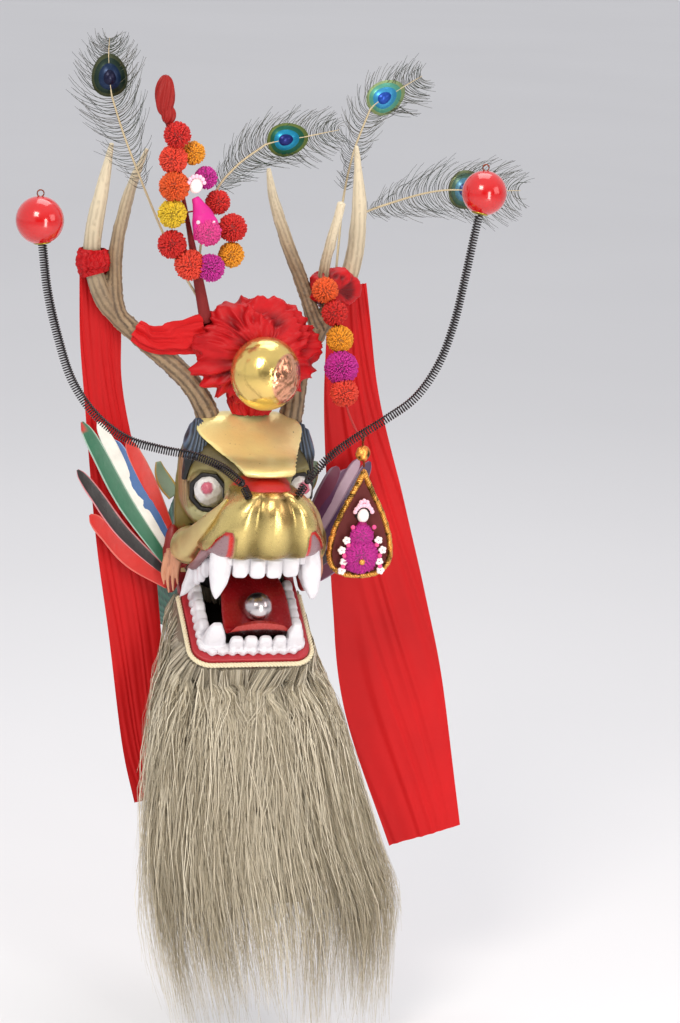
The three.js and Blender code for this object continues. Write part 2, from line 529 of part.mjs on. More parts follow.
// Pendant: a teardrop frame with a backing board and a cloth doll, swinging from its ring.
const PENDANT = { x: 115, forward: 20, top: 37, bottom: -92, halfWidth: 37.5, widest: 26, rim: 6, halfDepth: 4 };
const RING = { radius: 4, tube: 1.1 };
function teardrop(inset) {
  const height = PENDANT.top - PENDANT.bottom;
  const wide = PENDANT.halfWidth - inset;
  const top = height - inset * 3;
  const shape = new THREE.Shape();
  shape.moveTo(0, inset);
  shape.bezierCurveTo(wide * 0.9, inset, wide, PENDANT.widest * 0.7, wide, PENDANT.widest + 4);
  shape.bezierCurveTo(wide * 0.95, height * 0.5, wide * 0.3, height * 0.72, 0, top);
  shape.bezierCurveTo(-wide * 0.3, height * 0.72, -wide * 0.95, height * 0.5, -wide, PENDANT.widest + 4);
  shape.bezierCurveTo(-wide, PENDANT.widest * 0.7, -wide * 0.9, inset, 0, inset);
  return shape;
}
function pendantPlate(shape, low, high) {
  const geometry = new THREE.ExtrudeGeometry(shape, { depth: high - low, bevelEnabled: false, curveSegments: 6 });
  geometry.rotateX(Math.PI / 2);
  const base = at(PENDANT.x, PENDANT.forward, PENDANT.bottom);
  return closed(geometry.translate(base.x, base.y - low, base.z));
}
const rimShape = teardrop(0);
rimShape.holes.push(new THREE.Path(teardrop(PENDANT.rim).getPoints(6)));
const ringCentre = at(PIVOT[0], PIVOT[1], PIVOT[2] + PEG_RADIUS + GAP + RING.tube - RING.radius);
const ring = new THREE.TorusGeometry(RING.radius, RING.tube, 5, 10).rotateY(Math.PI / 2);
ring.translate(ringCentre.x, ringCentre.y, ringCentre.z);
const hanger = rod(rodRows([[PIVOT[0], PIVOT[1], 62.5, 1.4], [113, PIVOT[1], 49, 1.6],
  [PENDANT.x, PENDANT.forward, PENDANT.top - 4, 1.6]]), { sides: 6, steps: 1 });
const knot = egg(at(113, PENDANT.forward, PENDANT.top + 11), [9, 5, 10], 12, 8);
add("pendant_frame", joined(pendantPlate(rimShape, -PENDANT.halfDepth, PENDANT.halfDepth), closed(ring), hanger, knot),
  GOLD, 0.35, 1);
const backing = pendantPlate(teardrop(PENDANT.rim + GAP), -2, 1);
add("pendant_backing", backing, 0x5c1a18, 0.8);
// The doll, from the middle of the pendant's bottom: [x, forward, up, half width, half thickness].
const pendantDollRows = [[-1, 6, 11, 16, 4], [-1, 6, 35, 15, 5], [-1, 6, 53, 9, 5], [0, 6, 65, 4, 4],
  [0, 6, 73, 7, 5], [0, 6, 81, 7, 5], [0, 6, 91, 5, 5], [0, 6, 97, 2, 3]];
const onPendant = (x, forward, up) => [PENDANT.x + x, PENDANT.forward + forward, PENDANT.bottom + up];
const pendantDoll = clothBar(pendantDollRows.map(([x, forward, up, wide, thick]) =>
  [...onPendant(x, forward, up), wide, thick]));
const dollDisc = egg(at(...onPendant(-1, 10, 29)), [18, 5, 18], 12, 6);
add("pendant_doll", cut(joined(pendantDoll, dollDisc), backing), 0xc71585, 0.8);

// Peacock feathers: a quill and the flat envelope of its barbs, [x, forward, up] along the quill and
// [x, forward, up, half width] along the vane.
const QUILL_RADIUS = 1.3;
const VANE_HALF_THICKNESS = 1.2;
const feathers = [
  { quill: [[-63, -28, 203], [-95, -36, 255], [-125, -46, 320], [-150, -52, 380], [-165, -50, 421]],
    vane: [[-128, -47, 325, 12], [-150, -52, 380, 32], [-165, -50, 421, 36], [-170, -50, 460, 24], [-170, -50, 484, 8]] },
  { quill: [[-65, -27, 210], [-65, -38, 262], [-50, -50, 318], [-26, -52, 350], [4, -50, 374]],
    vane: [[-46, -51, 325, 12], [-24, -52, 352, 26], [4, -50, 374, 30], [50, -50, 384, 26], [86, -50, 392, 10]] },
  { quill: [[98, -80, 226], [106, -104, 262], [112, -116, 310], [122, -120, 360], [138, -120, 407]],
    vane: [[113, -117, 318, 8], [122, -120, 360, 18], [138, -120, 407, 30], [170, -120, 430, 26], [196, -120, 446, 10]] },
  { quill: [[121, -94, 266], [126, -110, 288], [178, -120, 307], [228, -126, 318], [277, -130, 318]],
    vane: [[140, -114, 294, 8], [184, -121, 309, 30], [235, -127, 319, 34], [277, -130, 318, 34], [322, -130, 319, 14]] },
];
const feather = ({ quill, vane }) => joined(
  rod(quill.map((row) => [at(...row), QUILL_RADIUS]), { sides: 4 }),
  bar(vane.map(([x, forward, up, wide]) => [at(x, forward, up), wide, VANE_HALF_THICKNESS]), { sides: 4 }));
feathers.forEach((row, i) => add(`feather_${i + 1}`,
  cut(feather(row), spray, rosette, antlers.left, antlers.right, wrapRight), 0x3f6b52, 0.6));

export default head;
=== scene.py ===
import math

import bmesh
import bpy
import numpy as np
from mathutils import Matrix, Vector


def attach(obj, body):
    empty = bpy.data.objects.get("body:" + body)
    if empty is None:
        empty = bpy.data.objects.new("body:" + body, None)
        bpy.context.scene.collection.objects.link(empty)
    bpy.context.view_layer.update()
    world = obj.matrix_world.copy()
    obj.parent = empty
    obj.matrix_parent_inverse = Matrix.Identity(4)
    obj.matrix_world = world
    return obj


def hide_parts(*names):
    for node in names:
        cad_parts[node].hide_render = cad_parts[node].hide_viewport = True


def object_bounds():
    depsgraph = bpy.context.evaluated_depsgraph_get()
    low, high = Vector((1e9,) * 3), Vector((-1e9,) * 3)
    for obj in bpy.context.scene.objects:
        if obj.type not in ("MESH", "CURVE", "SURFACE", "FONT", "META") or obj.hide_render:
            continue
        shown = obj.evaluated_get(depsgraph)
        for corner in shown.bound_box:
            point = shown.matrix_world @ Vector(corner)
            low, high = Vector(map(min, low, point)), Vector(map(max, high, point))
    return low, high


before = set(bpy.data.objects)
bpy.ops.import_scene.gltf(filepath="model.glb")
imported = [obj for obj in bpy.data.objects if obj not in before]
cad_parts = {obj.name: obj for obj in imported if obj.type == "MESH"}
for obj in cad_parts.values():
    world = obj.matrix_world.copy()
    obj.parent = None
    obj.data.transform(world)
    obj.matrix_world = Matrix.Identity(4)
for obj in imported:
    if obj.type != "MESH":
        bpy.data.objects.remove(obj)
cad_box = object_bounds()
MM = 0.001

# Camera: at the photograph's angle, from the left of the face and a little above it, and rolled a
# few degrees. It stands 3.5 m away with a long lens, so that the head fills the frame.
CAMERA_TURN, CAMERA_LIFT, CAMERA_ROLL = math.radians(-15), math.radians(13), math.radians(3)
CAMERA_DISTANCE = 3.5
CAMERA_TARGET = Vector((0.08844, -0.27727, 0.15505))
LENS_MM, SENSOR_MM = 113, 36

back = Vector((math.sin(CAMERA_TURN) * math.cos(CAMERA_LIFT),
               -math.cos(CAMERA_TURN) * math.cos(CAMERA_LIFT), math.sin(CAMERA_LIFT)))
level = Vector((math.cos(CAMERA_TURN), math.sin(CAMERA_TURN), 0))
upright = back.cross(level)
side = level * math.cos(CAMERA_ROLL) + upright * math.sin(CAMERA_ROLL)
top = upright * math.cos(CAMERA_ROLL) - level * math.sin(CAMERA_ROLL)
camera_data = bpy.data.cameras.new("camera")
camera_data.lens, camera_data.sensor_width = LENS_MM, SENSOR_MM
camera = bpy.data.objects.new("camera", camera_data)
camera.matrix_world = Matrix.Translation(CAMERA_TARGET + back * CAMERA_DISTANCE) @ Matrix(
    (side, top, back)).transposed().to_4x4()
bpy.context.scene.collection.objects.link(camera)
bpy.context.scene.camera = camera


def linear(hex_colour):
    """An sRGB hex colour as linear red, green, blue and alpha."""
    parts = [int(hex_colour[i:i + 2], 16) / 255 for i in (1, 3, 5)]
    return tuple(c / 12.92 if c <= 0.04045 else ((c + 0.055) / 1.055) ** 2.4 for c in parts) + (1.0,)


def add_node(tree, kind, inputs=None, **settings):
    """Adds a node with its settings, and sets or links its inputs by name or number."""
    made = tree.nodes.new(kind)
    for name, value in settings.items():
        setattr(made, name, value)
    for key, value in (inputs or {}).items():
        if isinstance(value, bpy.types.NodeSocket):
            tree.links.new(value, made.inputs[key])
        else:
            made.inputs[key].default_value = value
    return made


def new_film(name):
    """A new material, its nodes, and the shader that makes its surface."""
    material = bpy.data.materials.new(name)
    material.use_nodes = True
    return material, material.node_tree, material.node_tree.nodes["Principled BSDF"]


# Studio: a pale matt floor under the tip of the beard, and a soft white room that is dimmer on the
# side the face looks to, so that gilding has something dark to mirror. Four large soft lamps light
# it. The head is held by its neck, as on the bow of its boat. Colours are shown as they are mixed.
bpy.context.scene.view_settings.view_transform = "Standard"
FLOOR_DROP, FLOOR_HALF = 0.006, 30
FLOOR_CORNERS = [(-1, -1), (1, -1), (1, 1), (-1, 1)]
floor_mesh = bpy.data.meshes.new("floor")
floor_height = cad_box[0].z - FLOOR_DROP
floor_mesh.from_pydata([(x * FLOOR_HALF, y * FLOOR_HALF, floor_height) for x, y in FLOOR_CORNERS], [], [(0, 1, 2, 3)])
floor = bpy.data.objects.new("floor", floor_mesh)
bpy.context.scene.collection.objects.link(floor)
floor_paper, paper_tree, paper = new_film("floor_paper")
paper_grain = add_node(paper_tree, "ShaderNodeTexNoise", {"Scale": 40.0, "Detail": 3.0})
paper_tone = add_node(paper_tree, "ShaderNodeMix", {
    0: paper_grain.outputs["Fac"], 6: linear("#dcdbdc"), 7: linear("#e4e3e4")}, data_type="RGBA")
paper_tree.links.new(paper_tone.outputs[2], paper.inputs["Base Color"])
paper.inputs["Roughness"].default_value = 0.9
floor_mesh.materials.append(floor_paper)

sky = bpy.data.worlds.new("sky")
bpy.context.scene.world = sky
sky.use_nodes = True
sky_tree = sky.node_tree
sky_way = add_node(sky_tree, "ShaderNodeTexCoord").outputs["Generated"]
sky_axes = add_node(sky_tree, "ShaderNodeSeparateXYZ", {0: sky_way}).outputs
SKY_WALLS = [
    # direction, where the wall's colour starts and is full along it, colour
    ("Y", 0.1, -0.5, "#4e4a4a"), ("X", -0.42, -0.6, "#fdfdff"), ("Z", 0.1, 0.8, "#fafbff"),
]
sky_tone = linear("#e6e7ec")
for axis, start, full, colour in SKY_WALLS:
    share = add_node(sky_tree, "ShaderNodeMapRange", {"Value": sky_axes[axis], "From Min": start, "From Max": full})
    sky_tone = add_node(sky_tree, "ShaderNodeMix", {0: share.outputs[0], 6: sky_tone, 7: linear(colour)},
                        data_type="RGBA").outputs[2]
sky_tree.links.new(sky_tone, sky_tree.nodes["Background"].inputs["Color"])
SKY_STRENGTH = 0.85
sky_tree.nodes["Background"].inputs["Strength"].default_value = SKY_STRENGTH

LAMPS_AIM = Vector((0, -0.27, 0.15))
LAMPS = [
    # name, place, width and height in metres, watts, colour
    ("key", (-1.5, -2.5, 2.3), 1.1, 1.1, 58, "#fff8ee"),
    ("strip", (0.55, -2.5, 0.25), 0.45, 1.6, 24, "#fffdf6"),
    ("fill", (2.3, -2.0, 1.3), 1.4, 1.4, 18, "#fff0ee"),
    ("top", (0.3, 0.4, 2.6), 1.6, 1.6, 26, "#ffffff"),
]
for lamp_name, place, width, height, watts, colour in LAMPS:
    lamp_data = bpy.data.lights.new(lamp_name, "AREA")
    lamp_data.shape = "RECTANGLE"
    lamp_data.size, lamp_data.size_y = width, height
    lamp_data.energy, lamp_data.color = watts, linear(colour)[:3]
    lamp = bpy.data.objects.new(lamp_name, lamp_data)
    lamp.visible_camera = False
    lamp.location = place
    lamp.rotation_euler = (LAMPS_AIM - Vector(place)).to_track_quat("-Z", "Y").to_euler()
    bpy.context.scene.collection.objects.link(lamp)

# Neck: one tapering block of camphor wood down and back to its flat butt. It is carved with slanting
# scales, enamelled green, and edged at the front with a gilded border.
EYES_AHEAD, EYES_UP = 250, 170


def at(x, forward, up):
    """Millimetres right, forward and up from the midpoint of the eyes, as a point in metres."""
    return np.stack(np.broadcast_arrays(x, -EYES_AHEAD - np.asarray(forward), EYES_UP + np.asarray(up)), -1) * MM


def finer(rows, steps):
    """A table's rows joined by smooth curves, with that many steps from one row to the next."""
    rows = np.array(rows, float)
    ends = np.vstack([2 * rows[0] - rows[1], rows, 2 * rows[-1] - rows[-2]])
    t = (np.arange(steps) / steps)[:, None]
    spans = [0.5 * (2 * b + (c - a) * t + (2 * a - 5 * b + 4 * c - d) * t ** 2 + (3 * b - a - 3 * c + d) * t ** 3)
             for a, b, c, d in zip(ends, ends[1:], ends[2:], ends[3:])]
    return np.vstack(spans + [rows[-1:]])


def skin(rings, capped=True, looped=True):
    """Points and faces of a skin over rings of points, each end closed by a fan."""
    rings = np.asarray(rings, float)
    rows, count = rings.shape[:2]
    start = np.arange(rows - 1)[:, None] * count
    here = np.arange(count if looped else count - 1)
    after = (here + 1) % count
    faces = np.stack([start + here, start + after, start + after + count, start + here + count], -1)
    faces = faces.reshape(-1, 4).tolist()
    points = rings.reshape(-1, 3)
    if capped:
        near, far, last = len(points), len(points) + 1, (rows - 1) * count
        points = np.vstack([points, rings[0].mean(0), rings[-1].mean(0)])
        faces += [[near, b, a] for a, b in zip(here, after)]
        faces += [[far, last + a, last + b] for a, b in zip(here, after)]
    return points, faces


def join(*forms):
    """Several forms as one list of points and one of faces."""
    points, faces, count = [], [], 0
    for form_points, form_faces in forms:
        points.append(form_points)
        faces += [[corner + count for corner in face] for face in form_faces]
        count += len(form_points)
    return np.vstack(points), faces


def oval(sides, power=2.0):
    """Points round an oval of half size 1, two columns. A power over 2 squares it."""
    angle = 2 * math.pi * (np.arange(sides) + 0.5) / sides
    around = np.stack([np.cos(angle), np.sin(angle)], -1)
    return np.sign(around) * np.abs(around) ** (2 / power)


def sections(rows, sides=48):
    """A form over upright sections, [forward, half width, bottom, top]."""
    u, v = oval(sides, 2.6).T
    return skin([at(u * wide, forward, (high + low) / 2 + v * (high - low) / 2) for forward, wide, low, high in rows])


def mesh_of(form, name="form"):
    """A new mesh of a form's points and faces."""
    mesh = bpy.data.meshes.new(name)
    points, faces = form
    mesh.from_pydata(np.asarray(points).tolist(), [], faces)
    return mesh


def read(mesh):
    """A mesh's points and faces as plain lists."""
    points = np.zeros(len(mesh.vertices) * 3)
    mesh.vertices.foreach_get("co", points)
    return points.reshape(-1, 3), [list(face.vertices) for face in mesh.polygons]


def carve(*forms, voxel=2.0, rubs=6):
    """Forms cut from one block: joined to one closed skin of voxels, given in mm, and rubbed smooth."""
    block = bpy.data.objects.new("block", mesh_of(join(*forms)))
    bpy.context.scene.collection.objects.link(block)
    voxels = block.modifiers.new("voxels", "REMESH")
    voxels.mode, voxels.voxel_size = "VOXEL", voxel * MM
    if rubs:
        rub = block.modifiers.new("rub", "SMOOTH")
        rub.factor, rub.iterations = 0.5, rubs
    done = bpy.data.meshes.new_from_object(block.evaluated_get(bpy.context.evaluated_depsgraph_get()))
    form = read(done)
    bpy.data.objects.remove(block)
    bpy.data.meshes.remove(done)
    return form


def normals(form):
    """The direction out of the form at each of its points."""
    mesh = mesh_of(form)
    out = np.zeros(len(mesh.vertices) * 3)
    mesh.vertices.foreach_get("normal", out)
    bpy.data.meshes.remove(mesh)
    return out.reshape(-1, 3)


def pushed(form, height):
    """The form with each point moved out along its normal by a height in mm."""
    points, faces = form
    return points + normals(form) * (np.asarray(height) * MM)[:, None], faces


def bumps(points, size, seed=0):
    """Smooth noise from -1 to 1 over points in metres, with bumps about size millimetres across."""
    lattice = np.random.default_rng(seed).uniform(-1, 1, (32, 32, 32))
    place = np.asarray(points) / (size * MM) + 500
    cell = np.floor(place).astype(int)
    part = place - cell
    part = part * part * (3 - 2 * part)
    total = np.zeros(len(place))
    for corner in np.ndindex(2, 2, 2):
        weight = np.prod(np.where(np.array(corner) == 1, part, 1 - part), axis=1)
        total += weight * lattice[tuple(((cell + corner) % 32).T)]
    return total


def millimetres(points):
    """x, forward and up from the midpoint of the eyes, in millimetres."""
    return points[:, 0] / MM, -points[:, 1] / MM - EYES_AHEAD, points[:, 2] / MM - EYES_UP


def step_at(value, edge, soft):
    """0 below the edge and 1 above it, with a soft change that wide."""
    share = np.clip((value - edge) / soft + 0.5, 0, 1)
    return share * share * (3 - 2 * share)


def bell(value, wide):
    """1 at a value of 0, falling off softly on both sides, about that wide."""
    return np.exp(-(value / wide) ** 2)


def outward(mesh):
    """Turns the mesh's faces so that they all look out."""
    shell = bmesh.new()
    shell.from_mesh(mesh)
    bmesh.ops.recalc_face_normals(shell, faces=shell.faces)
    shell.to_mesh(mesh)
    shell.free()


def piece(name, form, material, body="head", node=None, masks=None, flat=False, keep=1.0):
    """A finished piece that rides on a body, stands for a node and keeps its masks for its material.
    keep is the share of its faces that its shape needs; the rest are merged with their neighbours."""
    mesh = mesh_of(form, name)
    outward(mesh)
    mesh.polygons.foreach_set("use_smooth", [not flat] * len(mesh.polygons))
    for mask, values in (masks or {}).items():
        layer = mesh.attributes.new(mask, "FLOAT", "POINT")
        layer.data.foreach_set("value", np.asarray(values, np.float32))
    made = bpy.data.objects.new(name, mesh)
    bpy.context.scene.collection.objects.link(made)
    mesh.materials.append(material)
    if keep < 1:
        made.modifiers.new("merged", "DECIMATE").ratio = keep
        graph = bpy.context.evaluated_depsgraph_get()
        made.data = bpy.data.meshes.new_from_object(
            made.evaluated_get(graph), preserve_all_data_layers=True, depsgraph=graph)
        made.modifiers.clear()
        bpy.data.meshes.remove(mesh)
    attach(made, body)
    if node:
        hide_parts(node)
    return made


BRUSH_MM, CHIP_MM = 3.5, 5.0
WOOD = "#8a6a48"


def dimmed(hex_colour, share):
    """A linear colour with its light scaled by a share, at most to full."""
    return (*(min(c * share, 1) for c in linear(hex_colour)[:3]), 1.0)


def enamel(name, colour, groove, zones=(), roughness=0.42, worn=0.5):
    """Brushed oil enamel on carved wood: a satin film that shows the brush's streaks, is chipped to the wood
    on proud edges and is darkened in its cuts as painted shade. zones are (mask, colour) painted over it."""
    material, tree, film = new_film(name)
    place = add_node(tree, "ShaderNodeTexCoord").outputs["Object"]
    streak = add_node(tree, "ShaderNodeTexNoise", {
        "Vector": place, "Scale": 1 / (BRUSH_MM * MM) / 6, "Detail": 5.0, "Roughness": 0.65}).outputs["Fac"]
    fine = add_node(tree, "ShaderNodeTexNoise", {
        "Vector": place, "Scale": 1 / (BRUSH_MM * MM), "Detail": 3.0}).outputs["Fac"]
    tone = add_node(tree, "ShaderNodeMix", {0: streak, 6: dimmed(colour, 0.72), 7: dimmed(colour, 1.18)},
                    data_type="RGBA").outputs[2]
    for mask, paint in zones:
        amount = add_node(tree, "ShaderNodeAttribute", attribute_name=mask).outputs["Fac"]
        coat = add_node(tree, "ShaderNodeMix", {0: streak, 6: dimmed(paint, 0.78), 7: linear(paint)},
                        data_type="RGBA").outputs[2]
        tone = add_node(tree, "ShaderNodeMix", {0: amount, 6: tone, 7: coat}, data_type="RGBA").outputs[2]
    # the cut mask mixes in the groove colour: painted shade in the cuts
    cut = add_node(tree, "ShaderNodeAttribute", attribute_name="cut").outputs["Fac"]
    proud = add_node(tree, "ShaderNodeNewGeometry").outputs["Pointiness"]
    edge = add_node(tree, "ShaderNodeMapRange", {"Value": proud, "From Min": 0.52, "From Max": 0.60}).outputs[0]
    chip = add_node(tree, "ShaderNodeTexNoise", {
        "Vector": place, "Scale": 1 / (CHIP_MM * MM), "Detail": 6.0, "Roughness": 0.7}).outputs["Fac"]
    chipped = add_node(tree, "ShaderNodeMapRange", {
        "Value": chip, "From Min": 0.62, "From Max": 0.68, "To Max": worn}).outputs[0]
    bare = add_node(tree, "ShaderNodeMath", {0: edge, 1: chipped}, operation="MULTIPLY").outputs[0]
    for amount, paint in ((cut, groove), (bare, WOOD)):
        tone = add_node(tree, "ShaderNodeMix", {0: amount, 6: tone, 7: linear(paint)}, data_type="RGBA").outputs[2]
    tree.links.new(tone, film.inputs["Base Color"])
    dull = add_node(tree, "ShaderNodeMapRange", {
        "Value": fine, "To Min": roughness - 0.1, "To Max": roughness + 0.14}).outputs[0]
    tree.links.new(dull, film.inputs["Roughness"])
    relief = add_node(tree, "ShaderNodeBump", {"Height": fine, "Strength": 0.35, "Distance": 0.0006}).outputs[0]
    tree.links.new(relief, film.inputs["Normal"])
    film.inputs["IOR"].default_value = 1.5
    return material


NECK_ROWS = [
    # forward, half width, bottom, top
    (-100, 56, -142, 30), (-118, 63, -150, 24), (-150, 67, -168, -12), (-200, 70, -204, -74),
    (-235, 67, -222, -108), (-250, 64, -226, -114),
]
SCALE_PITCH_MM, SCALE_DEPTH_MM = 15, 1.5


def neck_block():
    """The neck's form, where its scales are cut, and its gilded border."""
    form = sections(finer(NECK_ROWS, 14), sides=120)
    x, forward, up = millimetres(form[0])
    phase = (forward * 0.75 + up * 0.66 + 0.35 * np.abs(x)) / SCALE_PITCH_MM
    on_side = step_at(np.abs(x), 30, 12) * step_at(-forward, 112, 6) * step_at(-forward, 244, -4)
    cut = bell(phase - np.round(phase), 0.13) * on_side
    form = pushed(form, -cut * SCALE_DEPTH_MM)
    form[0][np.abs(forward + EYES_AHEAD) < 0.01, 1] = 0
    return form, cut, step_at(-forward, 121, -2) * step_at(-forward, 108, 2)


neck_form, neck_cut, neck_border = neck_block()
green_enamel = enamel("green_enamel", "#2f6f5a", "#0f2a26", [("border", "#b08a3c")])
# its scale cuts are darkened to the groove colour as painted shade
piece("neck_block", neck_form, green_enamel, node="neck",
      masks={"cut": neck_cut, "border": neck_border})

# Skull: the block between the neck and the face, with the core of the muzzle and the palate. Olive
# gold paint over gesso, pale under the eyes, crimson in the hollow over the snout, and near black in the
# throat as painted shade. Its ridges and curls are darkened as painted shade too.
CRANIUM_ROWS = [
    # forward, half width, bottom, top
    (-132, 40, -44, 26), (-122, 58, -95, 48), (-100, 70, -128, 66), (-76, 75, -132, 74),
    (-70, 76, -60, 75), (-40, 77, -58, 70), (-18, 75, -57, 58), (-7, 60, -52, 52),
    (4, 43, -44, 46), (16, 30, -30, 42),
]
MUZZLE_ROWS = [
    (-30, 48, -57, 24), (10, 44, -57, 28), (40, 34, -57, 30), (58, 30, -50, 29), (66, 29, -46, 27),
    (74, 27, -40, 20),
]
EYE_SPACING_MM, EYE_TURN = 115, math.radians(30)
EYE_RADIUS_MM, SOCKET_RADIUS_MM = 17, 21
SIDES = [("left", -1), ("right", 1)]


def eye_axis(s):
    """Where an eye looks: a unit vector out of its socket."""
    return np.array([s * math.sin(EYE_TURN), -math.cos(EYE_TURN), 0])


def eye_at(s, behind):
    """The point on an eye's axis that many millimetres behind the front of the ball."""
    return at(s * EYE_SPACING_MM / 2, 0, 0) - eye_axis(s) * behind * MM


def unit(ways):
    """The same directions, each of length 1."""
    return ways / np.linalg.norm(ways, axis=-1, keepdims=True)


def mirrored(rows, s):
    """Rows that start with x, put on the side s."""
    return [(s * row[0], *row[1:]) for row in rows]


def rod(rows, steps=6, sides=16):
    """A round rod along a smooth curve, rows of [x, forward, up, radius]."""
    return bar([(*row, row[3]) for row in rows], steps=steps, sides=sides)


def bar(rows, steps=6, sides=16, power=2.0, across=None, facing=(0, -1, 0)):
    """A bar along a smooth curve, rows of [x, forward, up, half width, half thickness]. Its thickness
    is along facing, or its width along across."""
    rows = finer(rows, steps)
    centres = at(*rows[:, :3].T)
    along = unit(np.gradient(centres, axis=0))
    wide = unit(np.cross(along, facing) if across is None else np.broadcast_to(np.array(across, float), along.shape))
    deep = np.cross(wide, along)
    u, v = oval(sides, power).T
    half = np.maximum(rows[:, 3:5], 0.05) * MM
    rings = centres[:, None] + wide[:, None] * (u[None, :, None] * half[:, :1, None])
    return skin(rings + deep[:, None] * (v[None, :, None] * half[:, 1:2, None]))


def egg(centre, radii, around=32):
    """An egg of three radii in millimetres about a point in metres."""
    lift = np.linspace(-math.pi / 2, math.pi / 2, around // 2 + 1)[1:-1]
    u, v = oval(around).T
    rings = [np.stack([u * math.cos(a) * radii[0], v * math.cos(a) * radii[1],
                       np.full(around, math.sin(a) * radii[2])], -1) * MM for a in lift]
    points, faces = skin(rings)
    points[-2:, 2] = np.array([-1, 1]) * radii[2] * MM
    return points + centre, faces


skull_form = carve(
    sections(CRANIUM_ROWS), sections(MUZZLE_ROWS),
    *[rod([(s * 70, -78, -84, 7), (s * 68, -60, -92, 7), (s * 66, -40, -86, 5)]) for _, s in SIDES],
    voxel=2.2, rubs=10)
x, forward, up = millimetres(skull_form[0])
drawn_in = 0.12 * step_at(x, 40, 30) + 0.03 * step_at(-x, 40, 30)
skull_form[0][:, 0] *= 1 - drawn_in * step_at(forward, -72, 40) * step_at(up, -42, 24)
for _, s in SIDES:
    out = (skull_form[0] - eye_at(s, 15)) @ eye_axis(s)
    beside = np.linalg.norm(skull_form[0] - eye_at(s, 15) - out[:, None] * eye_axis(s), axis=1)
    sunk = (beside < (SOCKET_RADIUS_MM + 3.5) * MM) & (out > 0)
    skull_form[0][sunk] -= eye_axis(s) * out[sunk][:, None]
x, forward, up = millimetres(skull_form[0])
FACE_RIDGE_MM, CURL_MM = 8, 17
side_face = (step_at(np.abs(x), 62, 6) * step_at(forward, -62, 8) * step_at(-forward, 22, 8)
             * step_at(up, -42, 12) * step_at(-up, -34, 10))
ridge_phase = (forward + 0.12 * up) / FACE_RIDGE_MM
ridge_cut = bell(ridge_phase - np.round(ridge_phase), 0.17) * side_face
curl_phase = np.hypot(forward + 60, up + 20) / CURL_MM + 0.12 * np.sin(6 * np.arctan2(up + 20, forward + 60))
curl_cut = bell(curl_phase - np.round(curl_phase), 0.12) * step_at(-forward, 76, 6) * step_at(up, -100, 20)
skull_cut = np.maximum(ridge_cut, curl_cut)
under_eye = bell(np.abs(x) - 57, 17) * bell(up + 25, 9)
rim_away = np.hypot(np.abs(x) - 57, up) + 3 * bumps(skull_form[0], 9, 7)
skull_masks = {
    # cut: painted shade in the side ridges and the curls
    "cut": skull_cut * 0.8,
    "shade": step_at(up, 24, 30) * (0.8 + 0.2 * bumps(skull_form[0], 14, 8)),
    "ridges": side_face * 0.75,
    "lid": np.maximum(step_at(under_eye, 0.42, 0.1), 0.25 * step_at(-rim_away, -27, 4)) * step_at(forward, -40, 4),
    "bridge": step_at(forward, 24, 3) * step_at(up, -30 + 0.9 * (forward - 24), 2) * step_at(-up, -34, 2),
    # throat: the inside of the mouth painted near black, as painted shade
    "throat": step_at(-up, 50, 2) * step_at(forward, -79, 3) * step_at(-np.abs(x), -58, 4),
    "corner": step_at(-up, 58, 3) * step_at(np.abs(x), 58, 4) * step_at(forward, -98, 4),
}
skull_form = pushed(skull_form, 0.5 * bumps(skull_form[0], 14, 3) - 1.4 * ridge_cut - 1.8 * curl_cut)
olive_enamel = enamel("olive_enamel", "#84743a", "#2c2412", [
    ("shade", "#3a3218"), ("ridges", "#b98664"), ("lid", "#bdb684"), ("bridge", "#b8160f"),
    ("corner", "#a81a18"), ("throat", "#0d0707")])
piece("skull_block", skull_form, olive_enamel, node="skull", masks=skull_masks, keep=0.36)

# Forehead plate and snout: carved wood under burnished gold leaf. The leaf is real metal, thin enough
# to show the pin holes of the gesso below, and red bole shows where it is rubbed through. Its cuts and
# valleys are darkened as painted shade, and large copper-toned patches are partly bole showing through
# and partly painted warm reflections of the red cloth.
LEAF_DENT_MM, LEAF_PIT_MM, LEAF_BLOT_MM, LEAF_CLOUD_MM = 11, 1.3, 23, 62


